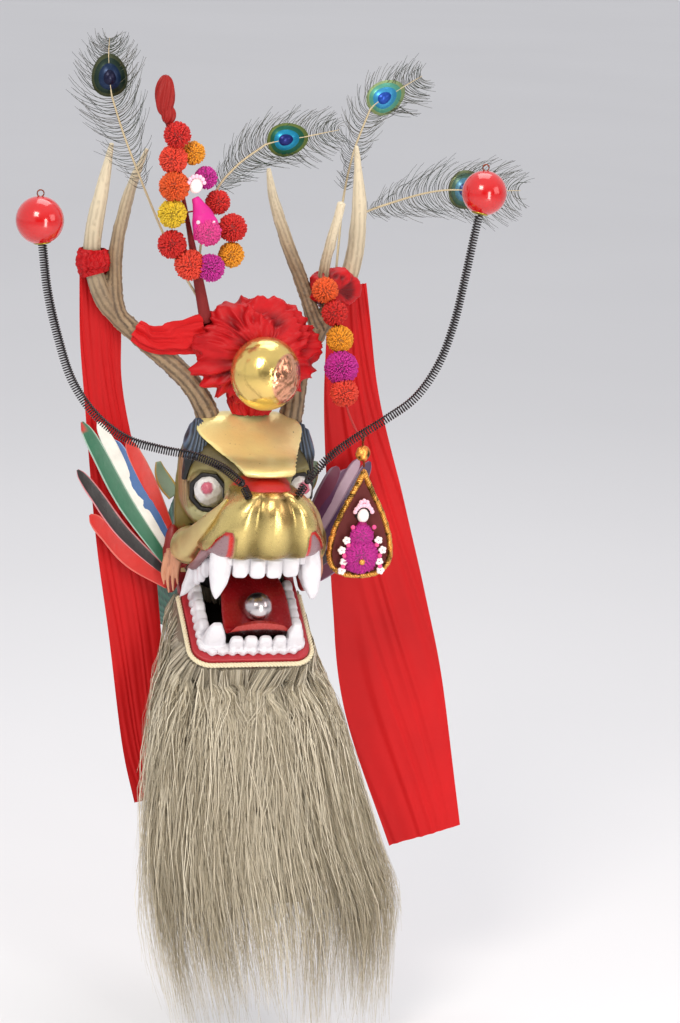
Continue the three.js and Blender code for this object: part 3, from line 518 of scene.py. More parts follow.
def gold_leaf(name, colour="#efdc98", warm="#cf9a62", roughness=0.27, metal=0.86):
    """Burnished pale leaf: soft bright reflections broken by dents, pin holes and a few rubbed spots, and
    copper-toned in large patches, partly where the bole shows through it and partly as painted warm
    reflection. Its pink mask is rose gold on the globe and a painted reflection of the red cloth on the
    forehead plate, and its cut mask is painted shade. A thin size under it lowers how much it mirrors."""
    material, tree, leaf = new_film(name)
    place = add_node(tree, "ShaderNodeTexCoord").outputs["Object"]
    dents, grit, blot, cloud = [add_node(tree, "ShaderNodeTexNoise", {
        "Vector": place, "Scale": 1 / (size * MM), "Detail": detail, "Roughness": rough}).outputs["Fac"]
        for size, detail, rough in ((LEAF_DENT_MM, 3.0, 0.5), (LEAF_PIT_MM * 2, 5.0, 0.7), (LEAF_BLOT_MM, 6.0, 0.68),
                                    (LEAF_CLOUD_MM, 2.0, 0.5))]
    holes = add_node(tree, "ShaderNodeTexVoronoi", {
        "Vector": place, "Scale": 1 / (LEAF_PIT_MM * MM) / 7}).outputs["Distance"]
    warm_reflection_and_bole, rubbed, pit, some = [add_node(tree, "ShaderNodeMapRange", {
        "Value": value, "From Min": start, "From Max": full, "To Max": most}).outputs[0]
        for value, start, full, most in ((cloud, 0.48, 0.66, 0.7), (blot, 0.71, 0.75, 0.85), (holes, 0.10, 0.05, 1.0),
                                         (dents, 0.52, 0.58, 1.0))]
    pit = add_node(tree, "ShaderNodeMath", {0: pit, 1: some}, operation="MULTIPLY").outputs[0]
    blush, cut, gum, red = [add_node(tree, "ShaderNodeAttribute", attribute_name=mask).outputs["Fac"]
                            for mask in ("blush", "cut", "gum", "red")]
    tone = add_node(tree, "ShaderNodeMix", {0: dents, 6: dimmed(colour, 0.8), 7: linear(colour)},
                    data_type="RGBA").outputs[2]
    for amount, paint in ((warm_reflection_and_bole, warm), (blush, "#dfa080"), (rubbed, "#6b3a1c"), (cut, "#4a3a18"), (pit, "#1d160c"),
                          (gum, "#8d6f74"), (red, "#c4261d")):
        tone = add_node(tree, "ShaderNodeMix", {0: amount, 6: tone, 7: linear(paint)}, data_type="RGBA").outputs[2]
    tree.links.new(tone, leaf.inputs["Base Color"])
    covered = red
    for amount in (gum, rubbed, pit):
        covered = add_node(tree, "ShaderNodeMath", {0: covered, 1: amount}, operation="MAXIMUM").outputs[0]
    mirror = add_node(tree, "ShaderNodeMapRange", {"Value": covered, "To Min": metal, "To Max": 0.0}).outputs[0]
    tree.links.new(mirror, leaf.inputs["Metallic"])
    dull = add_node(tree, "ShaderNodeMapRange", {
        "Value": grit, "To Min": roughness - 0.06, "To Max": roughness + 0.16}).outputs[0]
    tree.links.new(dull, leaf.inputs["Roughness"])
    uneven = add_node(tree, "ShaderNodeBump", {"Height": dents, "Strength": 0.3, "Distance": 0.002}).outputs[0]
    relief = add_node(tree, "ShaderNodeBump", {
        "Height": grit, "Strength": 0.25, "Distance": 0.0005, "Normal": uneven}).outputs[0]
    tree.links.new(relief, leaf.inputs["Normal"])
    return material


PLATE_ROWS = [
    # up, middle, half width, front, setback at the sides
    (31, 0, 26, 67, 9), (35, 0, 29, 71, 10), (39, 0, 32, 64, 12), (42, 0, 37, 49, 14), (45, 0, 42, 32, 16),
    (50, -1, 48, 17, 16), (57, -3, 55, 2, 14), (63, -4, 59, -10, 12), (69, -4, 59, -20, 10), (74, -4, 54, -28, 9),
    (78, -3, 42, -36, 7), (80, -2, 28, -42, 5),
]
PLATE_BACK = -60
burnished_leaf = gold_leaf("burnished_leaf", "#e2ca82", "#b98850", 0.24, 0.95)
# the forehead plate's leaf is painted paler and made half matt, as painted light from the sky it faces
pale_lit_leaf = gold_leaf("pale_lit_leaf", "#fff3a8", "#fbe292", 0.26, 0.42)
across = np.linspace(-1, 1, 49)
plate_form = carve(skin([
    np.vstack([at(middle + across * wide, front - setback * across ** 2, up),
               at(middle + np.array([0.9, -0.9]) * wide, PLATE_BACK, up)])
    for up, middle, wide, front, setback in finer(PLATE_ROWS, 8)]), voxel=1.7, rubs=12)
plate_form = pushed(plate_form, 0.55 * bumps(plate_form[0], 17, 5))
x, forward, up = millimetres(plate_form[0])
# its pink tint toward the right top is a painted reflection of the red cloth, and the dark line at the fold above the
# nub is a painted shadow
piece("forehead_leaf", plate_form, pale_lit_leaf, node="forehead_plate", keep=0.6,
      masks={"blush": 0.3 * step_at(x, 14, 34) * step_at(up, 44, 10), "cut": 0.35 * bell(up - 43, 2.5)})

SNOUT_ROWS = [
    # up, half width, front, share by which it narrows at its back
    (18, 28, 80, 0.1), (13, 41, 89, 0.2), (0, 55, 95, 0.34), (-16, 62, 96, 0.3), (-32, 67, 93, 0.14),
    (-46, 70, 88, 0), (-55, 67, 79, 0), (-57, 60, 72, 0),
]
SNOUT_BACK, SNOUT_POWER = 14, 3.0
LOBES_AT, LOBE_DEPTH, LOBE_WIDTH = (-0.28, 0.36), 7, 0.15
NOSTRIL_RIM = [(41, -31), (43, -24.5), (50, -25), (58, -35), (64, -49), (70, -64)]


def snout_dome():
    """A dome with two grooves down it, and a nostril at each lower corner where the gum shows."""
    angle = np.linspace(0, math.pi, 73)
    u = np.sign(np.cos(angle)) * np.abs(np.cos(angle)) ** (2 / SNOUT_POWER)
    groove = sum(bell(u - middle, LOBE_WIDTH) for middle in LOBES_AT)
    ahead = np.sin(angle).clip(0) ** (2 / SNOUT_POWER)
    form = carve(skin([at(u * wide * (1 - narrowing * (1 - ahead) ** 2),
                          SNOUT_BACK + np.maximum((front - SNOUT_BACK) * ahead - LOBE_DEPTH * groove, 0), up)
                       for up, wide, front, narrowing in finer(SNOUT_ROWS, 6)]), voxel=1.6, rubs=5)
    x, forward, up = millimetres(form[0])
    wide = np.abs(x)
    rim = np.interp(wide, *np.array(NOSTRIL_RIM).T)
    inside = np.minimum(step_at(wide, 41, 1.2), step_at(rim - up, 0, 1.2)) * step_at(forward, 30, 3)
    edge = np.minimum(wide - 41, rim - up)
    red = inside * step_at(-edge, -4.5, 1.4)
    form[0][:, 1] += inside * 7 * MM
    scallop = 1.2 * np.cos(x / 13 * math.pi) * step_at(-up, 44, 10) * step_at(forward, 50, 8)
    line = bell(edge + 1.6, 1.1) * step_at(wide, 38, 2) * step_at(forward, 30, 3) * (up < rim + 4)
    form = pushed(form, 0.4 * bumps(form[0], 13, 8) + scallop * 0.5)
    # the valleys between the lobes, the lower front and the line round each nostril's hollow are darkened as painted
    # shade
    share = x / np.interp(up, *np.array([(row[0], row[1]) for row in SNOUT_ROWS[::-1]]).T)
    valley = sum(bell(share - middle, 0.12) for middle in LOBES_AT) * step_at(forward, 60, 20)
    low_edge = step_at(-up, 38, 26) * step_at(forward, 30, 10)
    return form, {"cut": np.maximum(line * 0.6, (0.6 * valley + 0.35 * low_edge).clip(0, 0.75) * (1 - inside)),
                  "red": red, "gum": inside}


snout_form, snout_masks = snout_dome()
piece("snout_leaf", snout_form, burnished_leaf, node="snout", masks=snout_masks, keep=0.6)

# Cheeks: gilded swellings with a raised gilt ridge from the inner corner of the eye, and a fringe of
# carved fingers below, painted flesh tan. The ridge is part of the same block as the cheek.
dull_leaf = gold_leaf("dull_leaf", "#dccb8c", "#c9a878", 0.4)
tan_enamel = enamel("tan_enamel", "#c98c6c", "#6e3424")
CHEEK_CENTRE, CHEEK_RADII = (60, -26, -66), (27, 33, 23)
WING_ROWS = [
    # x, forward, up, half width and half thickness of the gilt band
    (44, 56, 7, 2, 3), (51, 50, -5, 4.5, 4), (59, 42, -19, 7.5, 6), (66, 27, -35, 11, 7), (71, 6, -51, 15, 9),
    (75, -18, -63, 17.5, 10), (72, -38, -68, 13, 8),
]
TUFT_FINGERS = [
    # x, forward and up at the root, at the middle and at the tip
    ((74, -36, -78), (76, -38, -97), (75, -38, -112)), ((78.5, -39, -79), (80, -41, -102), (79, -41, -120)),
    ((83, -43, -80), (85, -45, -104), (83, -45, -123)), ((87, -46, -79), (90, -48, -100), (88, -48, -114)),
]
for name, s in SIDES:
    x, forward, up = CHEEK_CENTRE
    wing = bar(mirrored(WING_ROWS, s), steps=8, sides=32, power=2.4, facing=(s * 0.8, -0.6, 0.25))
    form = carve(egg(at(s * x, forward, up), CHEEK_RADII, 48), wing, voxel=1.7, rubs=9)
    x, forward, up = millimetres(form[0])
    low = step_at(-up, 80, 6)
    form[0][:, 2] += low * (-80 - up).clip(0) * 0.6 * MM
    if name == "right":
        # cut back at its outer end, to leave room for the pendant's swing
        x, forward, up = millimetres(form[0])
        form[0][:] = at(x, np.minimum(forward, 2 + 2 * (77 - x).clip(0)), up)
    form = pushed(form, 0.5 * bumps(form[0], 15, 12) - 1.5 * bell(up + 79, 2.0) * (forward > -50))
    # the groove along the cheek's lower edge is darkened as painted shade
    piece(f"cheek_leaf_{name}", form, dull_leaf, node=f"cheek_{name}", keep=0.6,
          masks={"cut": 0.7 * bell(up + 80, 2.0)})
    fingers = [bar(mirrored([(*root, 2.9, 3.4), (*middle, 2.3, 2.8), (*tip, 0.9, 1.0)], s))
               for root, middle, tip in TUFT_FINGERS]
    palm = bar(mirrored([(80, -45, -74, 8, 6), (81, -46, -84, 7, 5), (81, -47, -92, 4, 3)], s))
    form = carve(palm, *fingers, voxel=0.8, rubs=2)
    piece(f"cheek_fingers_{name}", form, tan_enamel, node=f"cheek_tuft_{name}", keep=0.35,
          masks={"cut": step_at(np.abs(bumps(form[0], 5, 4)), 0.62, 0.2) * 0.4})

# Lips: a roll of carved wood from under the snout back to the corner of the mouth, mauve like a gum,
# with a thin vermilion line along its upper edge.
lip_enamel = enamel("lip_enamel", "#9a7478", "#5a2c30", [("line", "#c2281c")])
LIP_ROWS = [
    (48, 52, -37, 6, 6), (57, 46, -47, 6, 6), (63, 31, -61, 5.5, 6), (66, 6, -78, 4.5, 5), (65, -24, -90, 4, 4),
]
for name, s in SIDES:
    form = carve(bar(mirrored(LIP_ROWS, s), steps=10), voxel=1.2, rubs=3)
    x, forward, up = millimetres(form[0])
    centre = finer(LIP_ROWS, 20)
    nearest = centre[np.abs(forward[:, None] - centre[:, 1]).argmin(1)]
    above = up - nearest[:, 2]
    ripple = np.cos(np.hypot(forward, up) / 3.2)
    form = pushed(form, 0.6 * ripple)
    piece(f"lip_roll_{name}", form, lip_enamel, node=f"lip_{name}", keep=0.6,
          masks={"line": step_at(above, 2.6, 1.2),
                 "cut": 0.5 * step_at(ripple, -0.6, 0.5) * (above < 2)})

# Eyes: a planed white ball with a pink iris that looks up and out, pegged in a black eight-sided
# socket. Both are gloss enamel on hard wood.
IRIS_RADIUS_MM, IRIS_RIM_MM = 6.3, 1.0
EYE_FACETS, FACET_REACH = 46, 0.955
EYE_LOOK = (0.369, -0.858, 0.352)
RIM_DROP_MM = 2.2
RIM_PROFILE = [(16, 17.4), (12.6, 18.4), (12.6, 22.8), (14, 23.6), (31, 23.0), (31, 4), (20, 4), (18, 17.2)]
GOLDEN_TURN = math.pi * (3 - math.sqrt(5))


def all_round(count, start):
    """Directions spread evenly over a ball, wound round it from top to bottom."""
    turn = np.arange(count) * GOLDEN_TURN + start
    height = 1 - 2 * (np.arange(count) + 0.5) / count
    level = np.sqrt(1 - height ** 2)
    return np.stack([np.cos(turn) * level, np.sin(turn) * level, height], -1)


def planed(centre, radius, facets):
    """A ball planed to small flat facets, as a knife leaves it."""
    points, faces = egg(np.zeros(3), (1, 1, 1), 96)
    points = unit(points / MM)
    toward = points @ all_round(facets, 1).T
    reach = np.where(toward > 0.2, FACET_REACH / toward.clip(0.2), 9).min(1).clip(0, 1)
    return points * reach[:, None] * radius * MM + centre, faces


def turned(start, axis, profile, sides=8, spin=0.0):
    """A form round an axis from a profile of [distance along it, radius] in millimetres."""
    axis = unit(np.asarray(axis, float))
    aside = unit(np.cross(axis, (0, 0, 1) if abs(axis[2]) < 0.9 else (1, 0, 0)))
    over = np.cross(axis, aside)
    angle = 2 * math.pi * (np.arange(sides) + spin) / sides
    ring = np.cos(angle)[:, None] * aside + np.sin(angle)[:, None] * over
    return skin([start + (axis * far + ring * max(radius, 0.02)) * MM for far, radius in profile])


white_gloss = enamel("white_gloss", "#e8e4e2", "#8d8178", [("iris_rim", "#a4506c"), ("iris", "#d0647a")],
                     roughness=0.24, worn=0.0)
black_gloss = enamel("black_gloss", "#1b1714", "#050404", roughness=0.3, worn=0.6)
for name, s in SIDES:
    ball_centre = eye_at(s, EYE_RADIUS_MM)
    form = planed(ball_centre, EYE_RADIUS_MM, EYE_FACETS)
    aim = (form[0] - ball_centre) / (EYE_RADIUS_MM * MM)
    away = np.linalg.norm(aim - unit(np.array([s, 1, 1]) * EYE_LOOK), axis=1) * EYE_RADIUS_MM
    piece(f"eye_ball_{name}", form, white_gloss, node=f"eyeball_{name}", keep=0.5,
          masks={"iris_rim": step_at(-away, -IRIS_RADIUS_MM - IRIS_RIM_MM, 0.5),
                 "iris": step_at(-away, -IRIS_RADIUS_MM, 0.5)})
    rim_front = eye_at(s, 0) - np.array([0, 0, RIM_DROP_MM * MM])
    socket = carve(turned(rim_front, -eye_axis(s), RIM_PROFILE, spin=0.5), voxel=0.9, rubs=1)
    piece(f"eye_rim_{name}", socket, black_gloss, node=f"eye_socket_{name}", keep=0.2)

# Brows: a swept tuft of hair over each eye, carved from one block and pegged beside the forehead
# plate. Curved ridges are cut in it like a fan, and it is painted blue-grey on near black.
slate_enamel = enamel("slate_enamel", "#52637a", "#0a0b0f", [("side", "#101114")], roughness=0.38)
BROW_ROWS = {
    # x, forward, up, half width, half thickness
    "left": [(75, -24, 10, 3, 5), (72, -26, 24, 5.5, 8), (64, -28, 41, 14, 10), (60, -32, 57, 15, 9),
             (60, -35, 68, 10, 6), (60, -36, 76, 3, 3)],
    "right": [(65, -24, -2, 3, 5), (65, -26, 16, 5.5, 8), (61, -28, 34, 10, 10), (57, -32, 50, 12, 9),
              (55, -35, 62, 9, 6), (54, -36, 71, 3, 3)],
}
BROW_RIDGE_MM, BROW_CUT_MM = 4.3, 1.9
for name, s in SIDES:
    form = carve(bar(mirrored(BROW_ROWS[name], s), steps=8, sides=32), voxel=0.9, rubs=2)
    x, forward, up = millimetres(form[0])
    fan = np.arctan2(np.abs(x) - 46 + 0.3 * (forward + 34), 118 - up)
    phase = fan * 74 / BROW_RIDGE_MM + 0.12 * np.sin(up / 9)
    cut = bell(phase - np.round(phase), 0.33)
    form = pushed(form, 0.6 - BROW_CUT_MM * cut)
    # the cuts between the ridges are darkened to near black as painted shade
    piece(f"brow_tuft_{name}", form, slate_enamel, node=f"brow_{name}", keep=0.5,
          masks={"cut": cut, "side": step_at(-up, -36, 8)})

# Ears: a small leaf-shaped board at each side, let into the skull behind the brow. It is painted
# sage green, with a gilded edge.
sage_enamel = enamel("sage_enamel", "#7a8f76", "#3f4c3c", [("edge", "#c2a052")])
EAR_ROWS = [(72, -86, -22, 8, 5), (81, -91, -10, 9, 4), (87, -95, 2, 7, 3), (90, -97, 14, 3, 2)]
for name, s in SIDES:
    form = bar(mirrored(EAR_ROWS, s), steps=10, sides=40, power=4)
    lengths = len(finer(EAR_ROWS, 10))
    rim = np.abs(oval(40, 4)[:, 0]) > 0.8
    edge = np.append(np.tile(rim, lengths), [1, 1]).astype(float)
    piece(f"ear_board_{name}", form, sage_enamel, node=f"ear_{name}", masks={"edge": edge})

# Fins: six thin boards at each side, sawn to long leaf shapes, bevelled and painted one colour each
# with a paler edge. They fan out of one carved root behind the cheek.
FIN_ROWS = [
    # colour, edge colour, x, forward and up at the root, the middle and the tip, half width
    ("red", "#c2231b", "#e0685c", 80, -64, -118, 120, -74, -92, 167, -84, -43, 10),
    ("black", "#231c1d", "#d98c92", 80, -66, -108, 130, -77, -62, 182, -88, 7, 8),
    ("green", "#2c684c", "#a9c4b4", 79, -68, -98, 128, -80, -30, 178, -92, 60, 9),
    ("white", "#e9e6de", "#f6f4ef", 78, -70, -88, 120, -82, -16, 160, -92, 60, 8),
    ("blue", "#41679f", "#92aed8", 77, -72, -78, 110, -81, -18, 143, -90, 40, 9),
    ("upper_red", "#cc2a20", "#e2766a", 76, -74, -66, 101, -81, -12, 127, -88, 40, 9),
]
BOARD_HALF_MM = 3
fin_enamels = {row[0]: enamel(f"{row[0]}_fin_enamel", row[1], "#2a1a14", [("edge", row[2]), ("patch", "#c03a34")],
                              roughness=0.36, worn=0.8) for row in FIN_ROWS}
# The boards of the right fan are shorter. Their colours are the left fan's colours darkened as painted
# shade, to plum for the boards turned from the light and to silvery pink for the white one.
SHADED_FIN_COLOURS = {"red": "#5c2038", "black": "#2b1c28", "green": "#46294a", "white": "#a98d9d", "blue": "#57294f",
        "upper_red": "#6b2440"}
shaded_enamels = {colour: enamel(f"{colour}_shaded_enamel", paint, "#1c0f16", [("edge", "#8f6f84")],
                               roughness=0.36, worn=0.8) for colour, paint in SHADED_FIN_COLOURS.items()}
FAN_REACH = {"left": 1.0, "right": 0.72}
root_enamel = enamel("root_enamel", "#8f1f1c", "#2a0c0a")
for name, s in SIDES:
    root = carve(egg(at(s * 76, -69, -90), (11, 11, 40)), voxel=1.6, rubs=2)
    root = pushed(root, 0.8 * bumps(root[0], 9, 2))
    piece(f"fin_root_{name}", root, root_enamel, node=f"fin_fan_{name}", keep=0.4)
    for colour, _, _, x0, f0, z0, x1, f1, z1, x2, f2, z2, half in FIN_ROWS:
        start, middle, end = np.array([(s * x0, f0, z0), (s * x1, f1, z1), (s * x2, f2, z2)], float)
        middle, end = start + (middle - start) * FAN_REACH[name], start + (end - start) * FAN_REACH[name]
        rows = [(*start, half * 0.6, BOARD_HALF_MM), (*middle, half, BOARD_HALF_MM),
                (*(middle * 0.4 + end * 0.6), half * 0.95, BOARD_HALF_MM),
                (*(middle * 0.12 + end * 0.88), half * 0.7, 2.4), (*end, 1.6, 1.4)]
        form = bar(rows, steps=8, sides=28, power=5)
        lengths = len(finer(rows, 8))
        u = np.tile(oval(28, 5)[:, 0], lengths)
        run = np.repeat(np.linspace(0, 1, lengths), 28)
        edge = np.append(np.abs(u) > 0.83, [0, 0])
        patch = np.append(step_at(run, 0.78, 0.05) * step_at(s * u, 0.0, 0.3) * (colour == "green"), [0, 0])
        form = pushed(form, 0.25 * bumps(form[0], 9, 6))
        paints = fin_enamels if name == "left" else shaded_enamels
        piece(f"fin_{colour}_{name}", form, paints[colour], node=f"fin_fan_{name}",
              masks={"edge": edge, "patch": patch})

# Upper teeth: a carved bar under the snout with four broad incisors and the side teeth, in thick
# white enamel. The four fangs are separate pegs, driven up into the bar and the cheeks.
UPPER_BAR = {"wide": 56, "front": 64, "back": 4, "corner": 26, "band": 14, "inner": 14, "low": -65.3, "high": -57.3}
CORNER_POINTS = 13


def hoof(wide, front, back, corner):
    """The U of a jaw seen from above, [x, along], from its back at one side round to the other."""
    bend = np.linspace(0, math.pi / 2, CORNER_POINTS)
    right = np.stack([wide - corner + corner * np.sin(bend), front - corner + corner * np.cos(bend)], -1)
    left = right[::-1] * (-1, 1)
    return np.vstack([[(-wide, back)], left, right, [(wide, back)]])


def band(outer, inner, low, high, place):
    """A band between two U outlines, from one height to another. place turns x, along, above to a point."""
    edge = np.vstack([outer, inner[::-1]])
    count = len(edge)
    points = np.vstack([place(edge[:, 0], edge[:, 1], np.full(count, height)) for height in (low, high)])
    ring = np.arange(count)
    after = (ring + 1) % count
    faces = np.stack([ring, after, after + count, ring + count], -1).tolist()
    half = count // 2
    for base in (0, count):
        faces += [[base + i, base + i + 1, base + count - 2 - i, base + count - 1 - i] for i in range(half - 1)]
    return points, faces


def tooth_bar(size, place):
    """The U-shaped bar that a row of teeth stands on."""
    wide, front, back, thick = [size[name] for name in ("wide", "front", "back", "band")]
    return band(hoof(wide, front, back, size["corner"]), hoof(wide - thick, front - thick, back, size["inner"]),
                size["low"], size["high"], place)


TOOTH_SHAPE = [
    # share of the length, share of the half width and of the half thickness
    (0, 1, 1), (0.45, 1.0, 1.0), (0.75, 0.93, 0.9), (0.93, 0.72, 0.7), (1, 0.4, 0.4),
]


def tooth(root, tip, half_width, half_thickness, sideways=False):
    """A blunt tooth from its root to its tip, x, forward and up in millimetres."""
    root, tip = np.array(root, float), np.array(tip, float)
    rows = [(*(root + (tip - root) * share), half_width * wide, half_thickness * thick)
            for share, wide, thick in TOOTH_SHAPE]
    return bar(rows, steps=3, sides=20, power=3.2, facing=(1, 0, 0) if sideways else (0, -1, 0))


def whitened(form, seed):
    """Teeth with the small dents that a knife and thick paint leave."""
    return pushed(form, 0.35 * bumps(form[0], 6, seed))


INCISORS = [(-28, 9.6), (-9.3, 9.8), (9.3, 9.8), (28, 9.6)]
UPPER_MOLARS = [14, 25, 36]
upper_teeth = carve(
    tooth_bar(UPPER_BAR, at),
    *[tooth((x, 60 - x * x / 500, -60), (x, 60.5 - x * x / 500, -80.5 + abs(x) / 30), half, 6.4)
      for x, half in INCISORS],
    *[tooth((s * 49, forward, -60), (s * 49, forward, -79), 5.4, 5.2, True)
      for _, s in SIDES for forward in UPPER_MOLARS],
    voxel=1.0, rubs=4)
tooth_enamel = enamel("tooth_enamel", "#dedbe0", "#6f6a74", roughness=0.3, worn=0.0)
upper_teeth = whitened(upper_teeth, 21)
x, forward, up = millimetres(upper_teeth[0])
between = np.abs(x[:, None] - np.array([-37.5, -18.7, 0, 18.7, 37.5])).min(1)
seams = bell(between, 0.8) * step_at(forward, 45, 4)
upper_teeth = pushed(upper_teeth, -1.3 * seams * step_at(-up, 58, 2))
# the seams between the teeth are darkened as painted shade
piece("upper_teeth_carving", upper_teeth, tooth_enamel, node="upper_teeth",
      masks={"cut": seams * 0.5}, keep=0.5)

FRONT_FANGS = {
    # x, forward, up, half width, half thickness
    "left": [(48, 51, -52, 11, 9), (48.5, 54, -66, 12.5, 9), (50, 55.5, -82, 10.5, 8), (52, 56.5, -95, 6, 5),
             (53, 57, -104, 1.2, 1.2)],
    "right": [(51, 51, -52, 10, 9), (51.5, 54, -66, 11, 9), (52.5, 55.5, -82, 10.5, 8), (54, 56.5, -96, 7, 6),
              (54, 57, -105, 2.5, 2.5)],
}
SIDE_FANG = [(60, -6, -82, 9, 8), (64, -13, -97, 8, 7), (69, -20, -111, 5.5, 5), (75, -27, -124, 0.8, 0.8)]
SIDE_STUMPS = [((58, 22, -66), (58, 23, -88), 7), ((60, 12, -70), (60, 13, -95), 7), ((61, 1, -76), (62, 0, -102), 7)]
for name, s in SIDES:
    fang = carve(bar(mirrored(FRONT_FANGS[name], s), steps=8, sides=32, power=2.4), voxel=0.9, rubs=2)
    piece(f"front_fang_{name}", whitened(fang, 3 + s), tooth_enamel, node=f"fang_front_{name}",
          keep=0.35)
    side_fang = carve(
        bar(mirrored(SIDE_FANG, s), steps=8, sides=32, power=2.4),
        *[tooth(*mirrored(ends, s), half, 5, True) for *ends, half in SIDE_STUMPS], voxel=0.9, rubs=3)
    side_fang = pushed(side_fang, 1.0 * bumps(side_fang[0], 8, 15))
    piece(f"side_fang_{name}", side_fang, tooth_enamel, node=f"fang_side_{name}", keep=0.4)

# Lower jaw: a hollowed wooden scoop on pegs at its hinge line, vermilion outside and painted near black
# within as painted shade of the hollow. Its teeth stand on a bar along the rim, with a wavy painted edge
# against the red.
JAW_DROP = math.radians(32)
JAW_HINGE_FORWARD, JAW_HINGE_UP = -80, -114
JAW_LEVELS = [(0, 66, 126), (-14, 66, 126), (-34, 60, 118), (-50, 42, 100), (-57, 22, 78)]
HOLLOW_LEVELS = [(6, 55, 115), (-10, 55, 115), (-32, 46, 104)]
JAW_CORNER = 0.3


def in_jaw(x, along, above):
    """x, along the jaw to its front and square to its rim in millimetres, as a point in metres."""
    return at(x, JAW_HINGE_FORWARD + along * math.cos(JAW_DROP) + above * math.sin(JAW_DROP),
              JAW_HINGE_UP - along * math.sin(JAW_DROP) + above * math.cos(JAW_DROP))


def jaw_place(points):
    """The x, along and above in millimetres of points in metres."""
    x, forward, up = millimetres(points)
    forward, up = forward - JAW_HINGE_FORWARD, up - JAW_HINGE_UP
    return (x, forward * math.cos(JAW_DROP) - up * math.sin(JAW_DROP),
            forward * math.sin(JAW_DROP) + up * math.cos(JAW_DROP))


def scoop(levels, back):
    """The jaw's outside or its hollow, over levels of [above the rim, half width, front]."""
    return skin([in_jaw(*hoof(wide, front, back, JAW_CORNER * wide).T, above) for above, wide, front in levels])


def hollowed(form, tool):
    """One form with another cut away from it."""
    made = [bpy.data.objects.new("cut", mesh_of(part)) for part in (form, tool)]
    for part in made:
        outward(part.data)
        bpy.context.scene.collection.objects.link(part)
    gouge = made[0].modifiers.new("gouge", "BOOLEAN")
    gouge.object, gouge.operation, gouge.solver = made[1], "DIFFERENCE", "EXACT"
    done = bpy.data.meshes.new_from_object(made[0].evaluated_get(bpy.context.evaluated_depsgraph_get()))
    for part in made:
        bpy.data.objects.remove(part)
    return read(done)


jaw_form = carve(hollowed(scoop(JAW_LEVELS, -8), scoop(HOLLOW_LEVELS, -20)), voxel=1.5, rubs=2)
x, along, above = jaw_place(jaw_form[0])
jaw_form = pushed(jaw_form, 0.4 * bumps(jaw_form[0], 10, 31))
red_enamel = enamel("red_enamel", "#a8232c", "#3a0c0a", [("inside", "#0d0606")], worn=0.7)
# inside: the hollow painted near black, as painted shade
inner = step_at(-above, 3, 2) * step_at(-np.abs(x), -57, 2) * step_at(-along, -117, 2)
piece("jaw_scoop", jaw_form, red_enamel, node="lower_jaw", masks={"inside": inner}, keep=0.25)

LOWER_BAR = {"wide": 59, "front": 119, "back": 18, "corner": 16, "band": 13, "inner": 6, "low": 0.3, "high": 6}
LOWER_FRONT = [(-19.5, 7.7), (-3.2, 7.8), (13, 7.8), (29, 7.5)]
LOWER_CORNERS = [(-42.5, 104, 34, 13, 8), (47, 106, 35, 10.5, 8)]
LOWER_SIDES = [30, 44, 58, 72, 86]
GUM_WAVE_MM = 11.5


def rows_of(points):
    """Rows of x, forward and up in millimetres, of points in metres."""
    return np.stack(millimetres(points), -1)


def jaw_tooth(x, along, low, high, half_width, half_thickness, sideways=False):
    """A blunt tooth square to the rim of the jaw."""
    root, tip = rows_of(in_jaw(x, along, np.array([low, high])))
    return tooth(root, tip, half_width, half_thickness, sideways)


def canine(x, along, high, half_width, half_thickness):
    """A broad three-sided corner tooth that tapers to a blunt tip."""
    places = rows_of(in_jaw(x, along, np.array([3, high * 0.55, high])))
    return bar([(*place, half_width * wide, half_thickness * thick)
                for place, wide, thick in zip(places, (1, 0.85, 0.4), (1, 0.9, 0.4))], steps=6, sides=24, power=3)


lower_teeth = carve(
    tooth_bar(LOWER_BAR, in_jaw),
    *[jaw_tooth(x, 112, 3, 21, half, 5.2) for x, half in LOWER_FRONT],
    *[canine(*row) for row in LOWER_CORNERS],
    *[jaw_tooth(s * 52, along, 3, 18 - 1.5 * (i % 2), 9, 6.5, True)
      for _, s in SIDES for i, along in enumerate(LOWER_SIDES)],
    voxel=1.0, rubs=5)
lower_teeth = whitened(lower_teeth, 23)
x, along, above = jaw_place(lower_teeth[0])
outer_side = step_at(np.maximum(np.abs(x) - 50, along - 108), 6, 3) * step_at(-above, -9, 3)
round_rim = np.where(along > 105, x, along + np.abs(x))
lower_teeth = pushed(lower_teeth, outer_side * (0.6 + 1.1 * np.cos(round_rim / GUM_WAVE_MM * 2 * math.pi)))
between = np.abs(x[:, None] - np.array([-28, -11.3, 4.9, 21, 37.5])).min(1)
seams = bell(between, 0.8) * step_at(along, 98, 3) * step_at(above, 6, 3)
lower_teeth = pushed(lower_teeth, -1.2 * seams)
# the seams between the teeth are darkened as painted shade
piece("lower_teeth_carving", lower_teeth, tooth_enamel, node="lower_teeth",
      masks={"cut": seams * 0.35}, keep=0.45)

# Tongue: a board with raised edges, pegged in the throat and curled up at its tip. It is deep red
# gloss enamel, painted nearly black underneath as painted shade and brighter red on its curled tip as a
# painted highlight, and a silvered ball sits on it as the dragon's pearl.
TONGUE_X = 8
TONGUE_ROWS = [
    # forward, up, half width, half thickness
    (-78, -104, 27, 7), (-50, -110, 31, 7), (-28, -122, 36, 7), (-8, -142, 38.5, 6.5),
    (6, -154, 38.5, 5.5), (14, -153, 37, 4), (18, -143, 27, 2.6),
]
TONGUE_SIDES = 72


def plain(name, colour, roughness, metallic=0.0, **sockets):
    """A material of one colour."""
    material, _, film = new_film(name)
    film.inputs["Base Color"].default_value = linear(colour)
    film.inputs["Roughness"].default_value = roughness
    film.inputs["Metallic"].default_value = metallic
    for socket, value in sockets.items():
        film.inputs[socket.replace("_", " ")].default_value = value
    return material


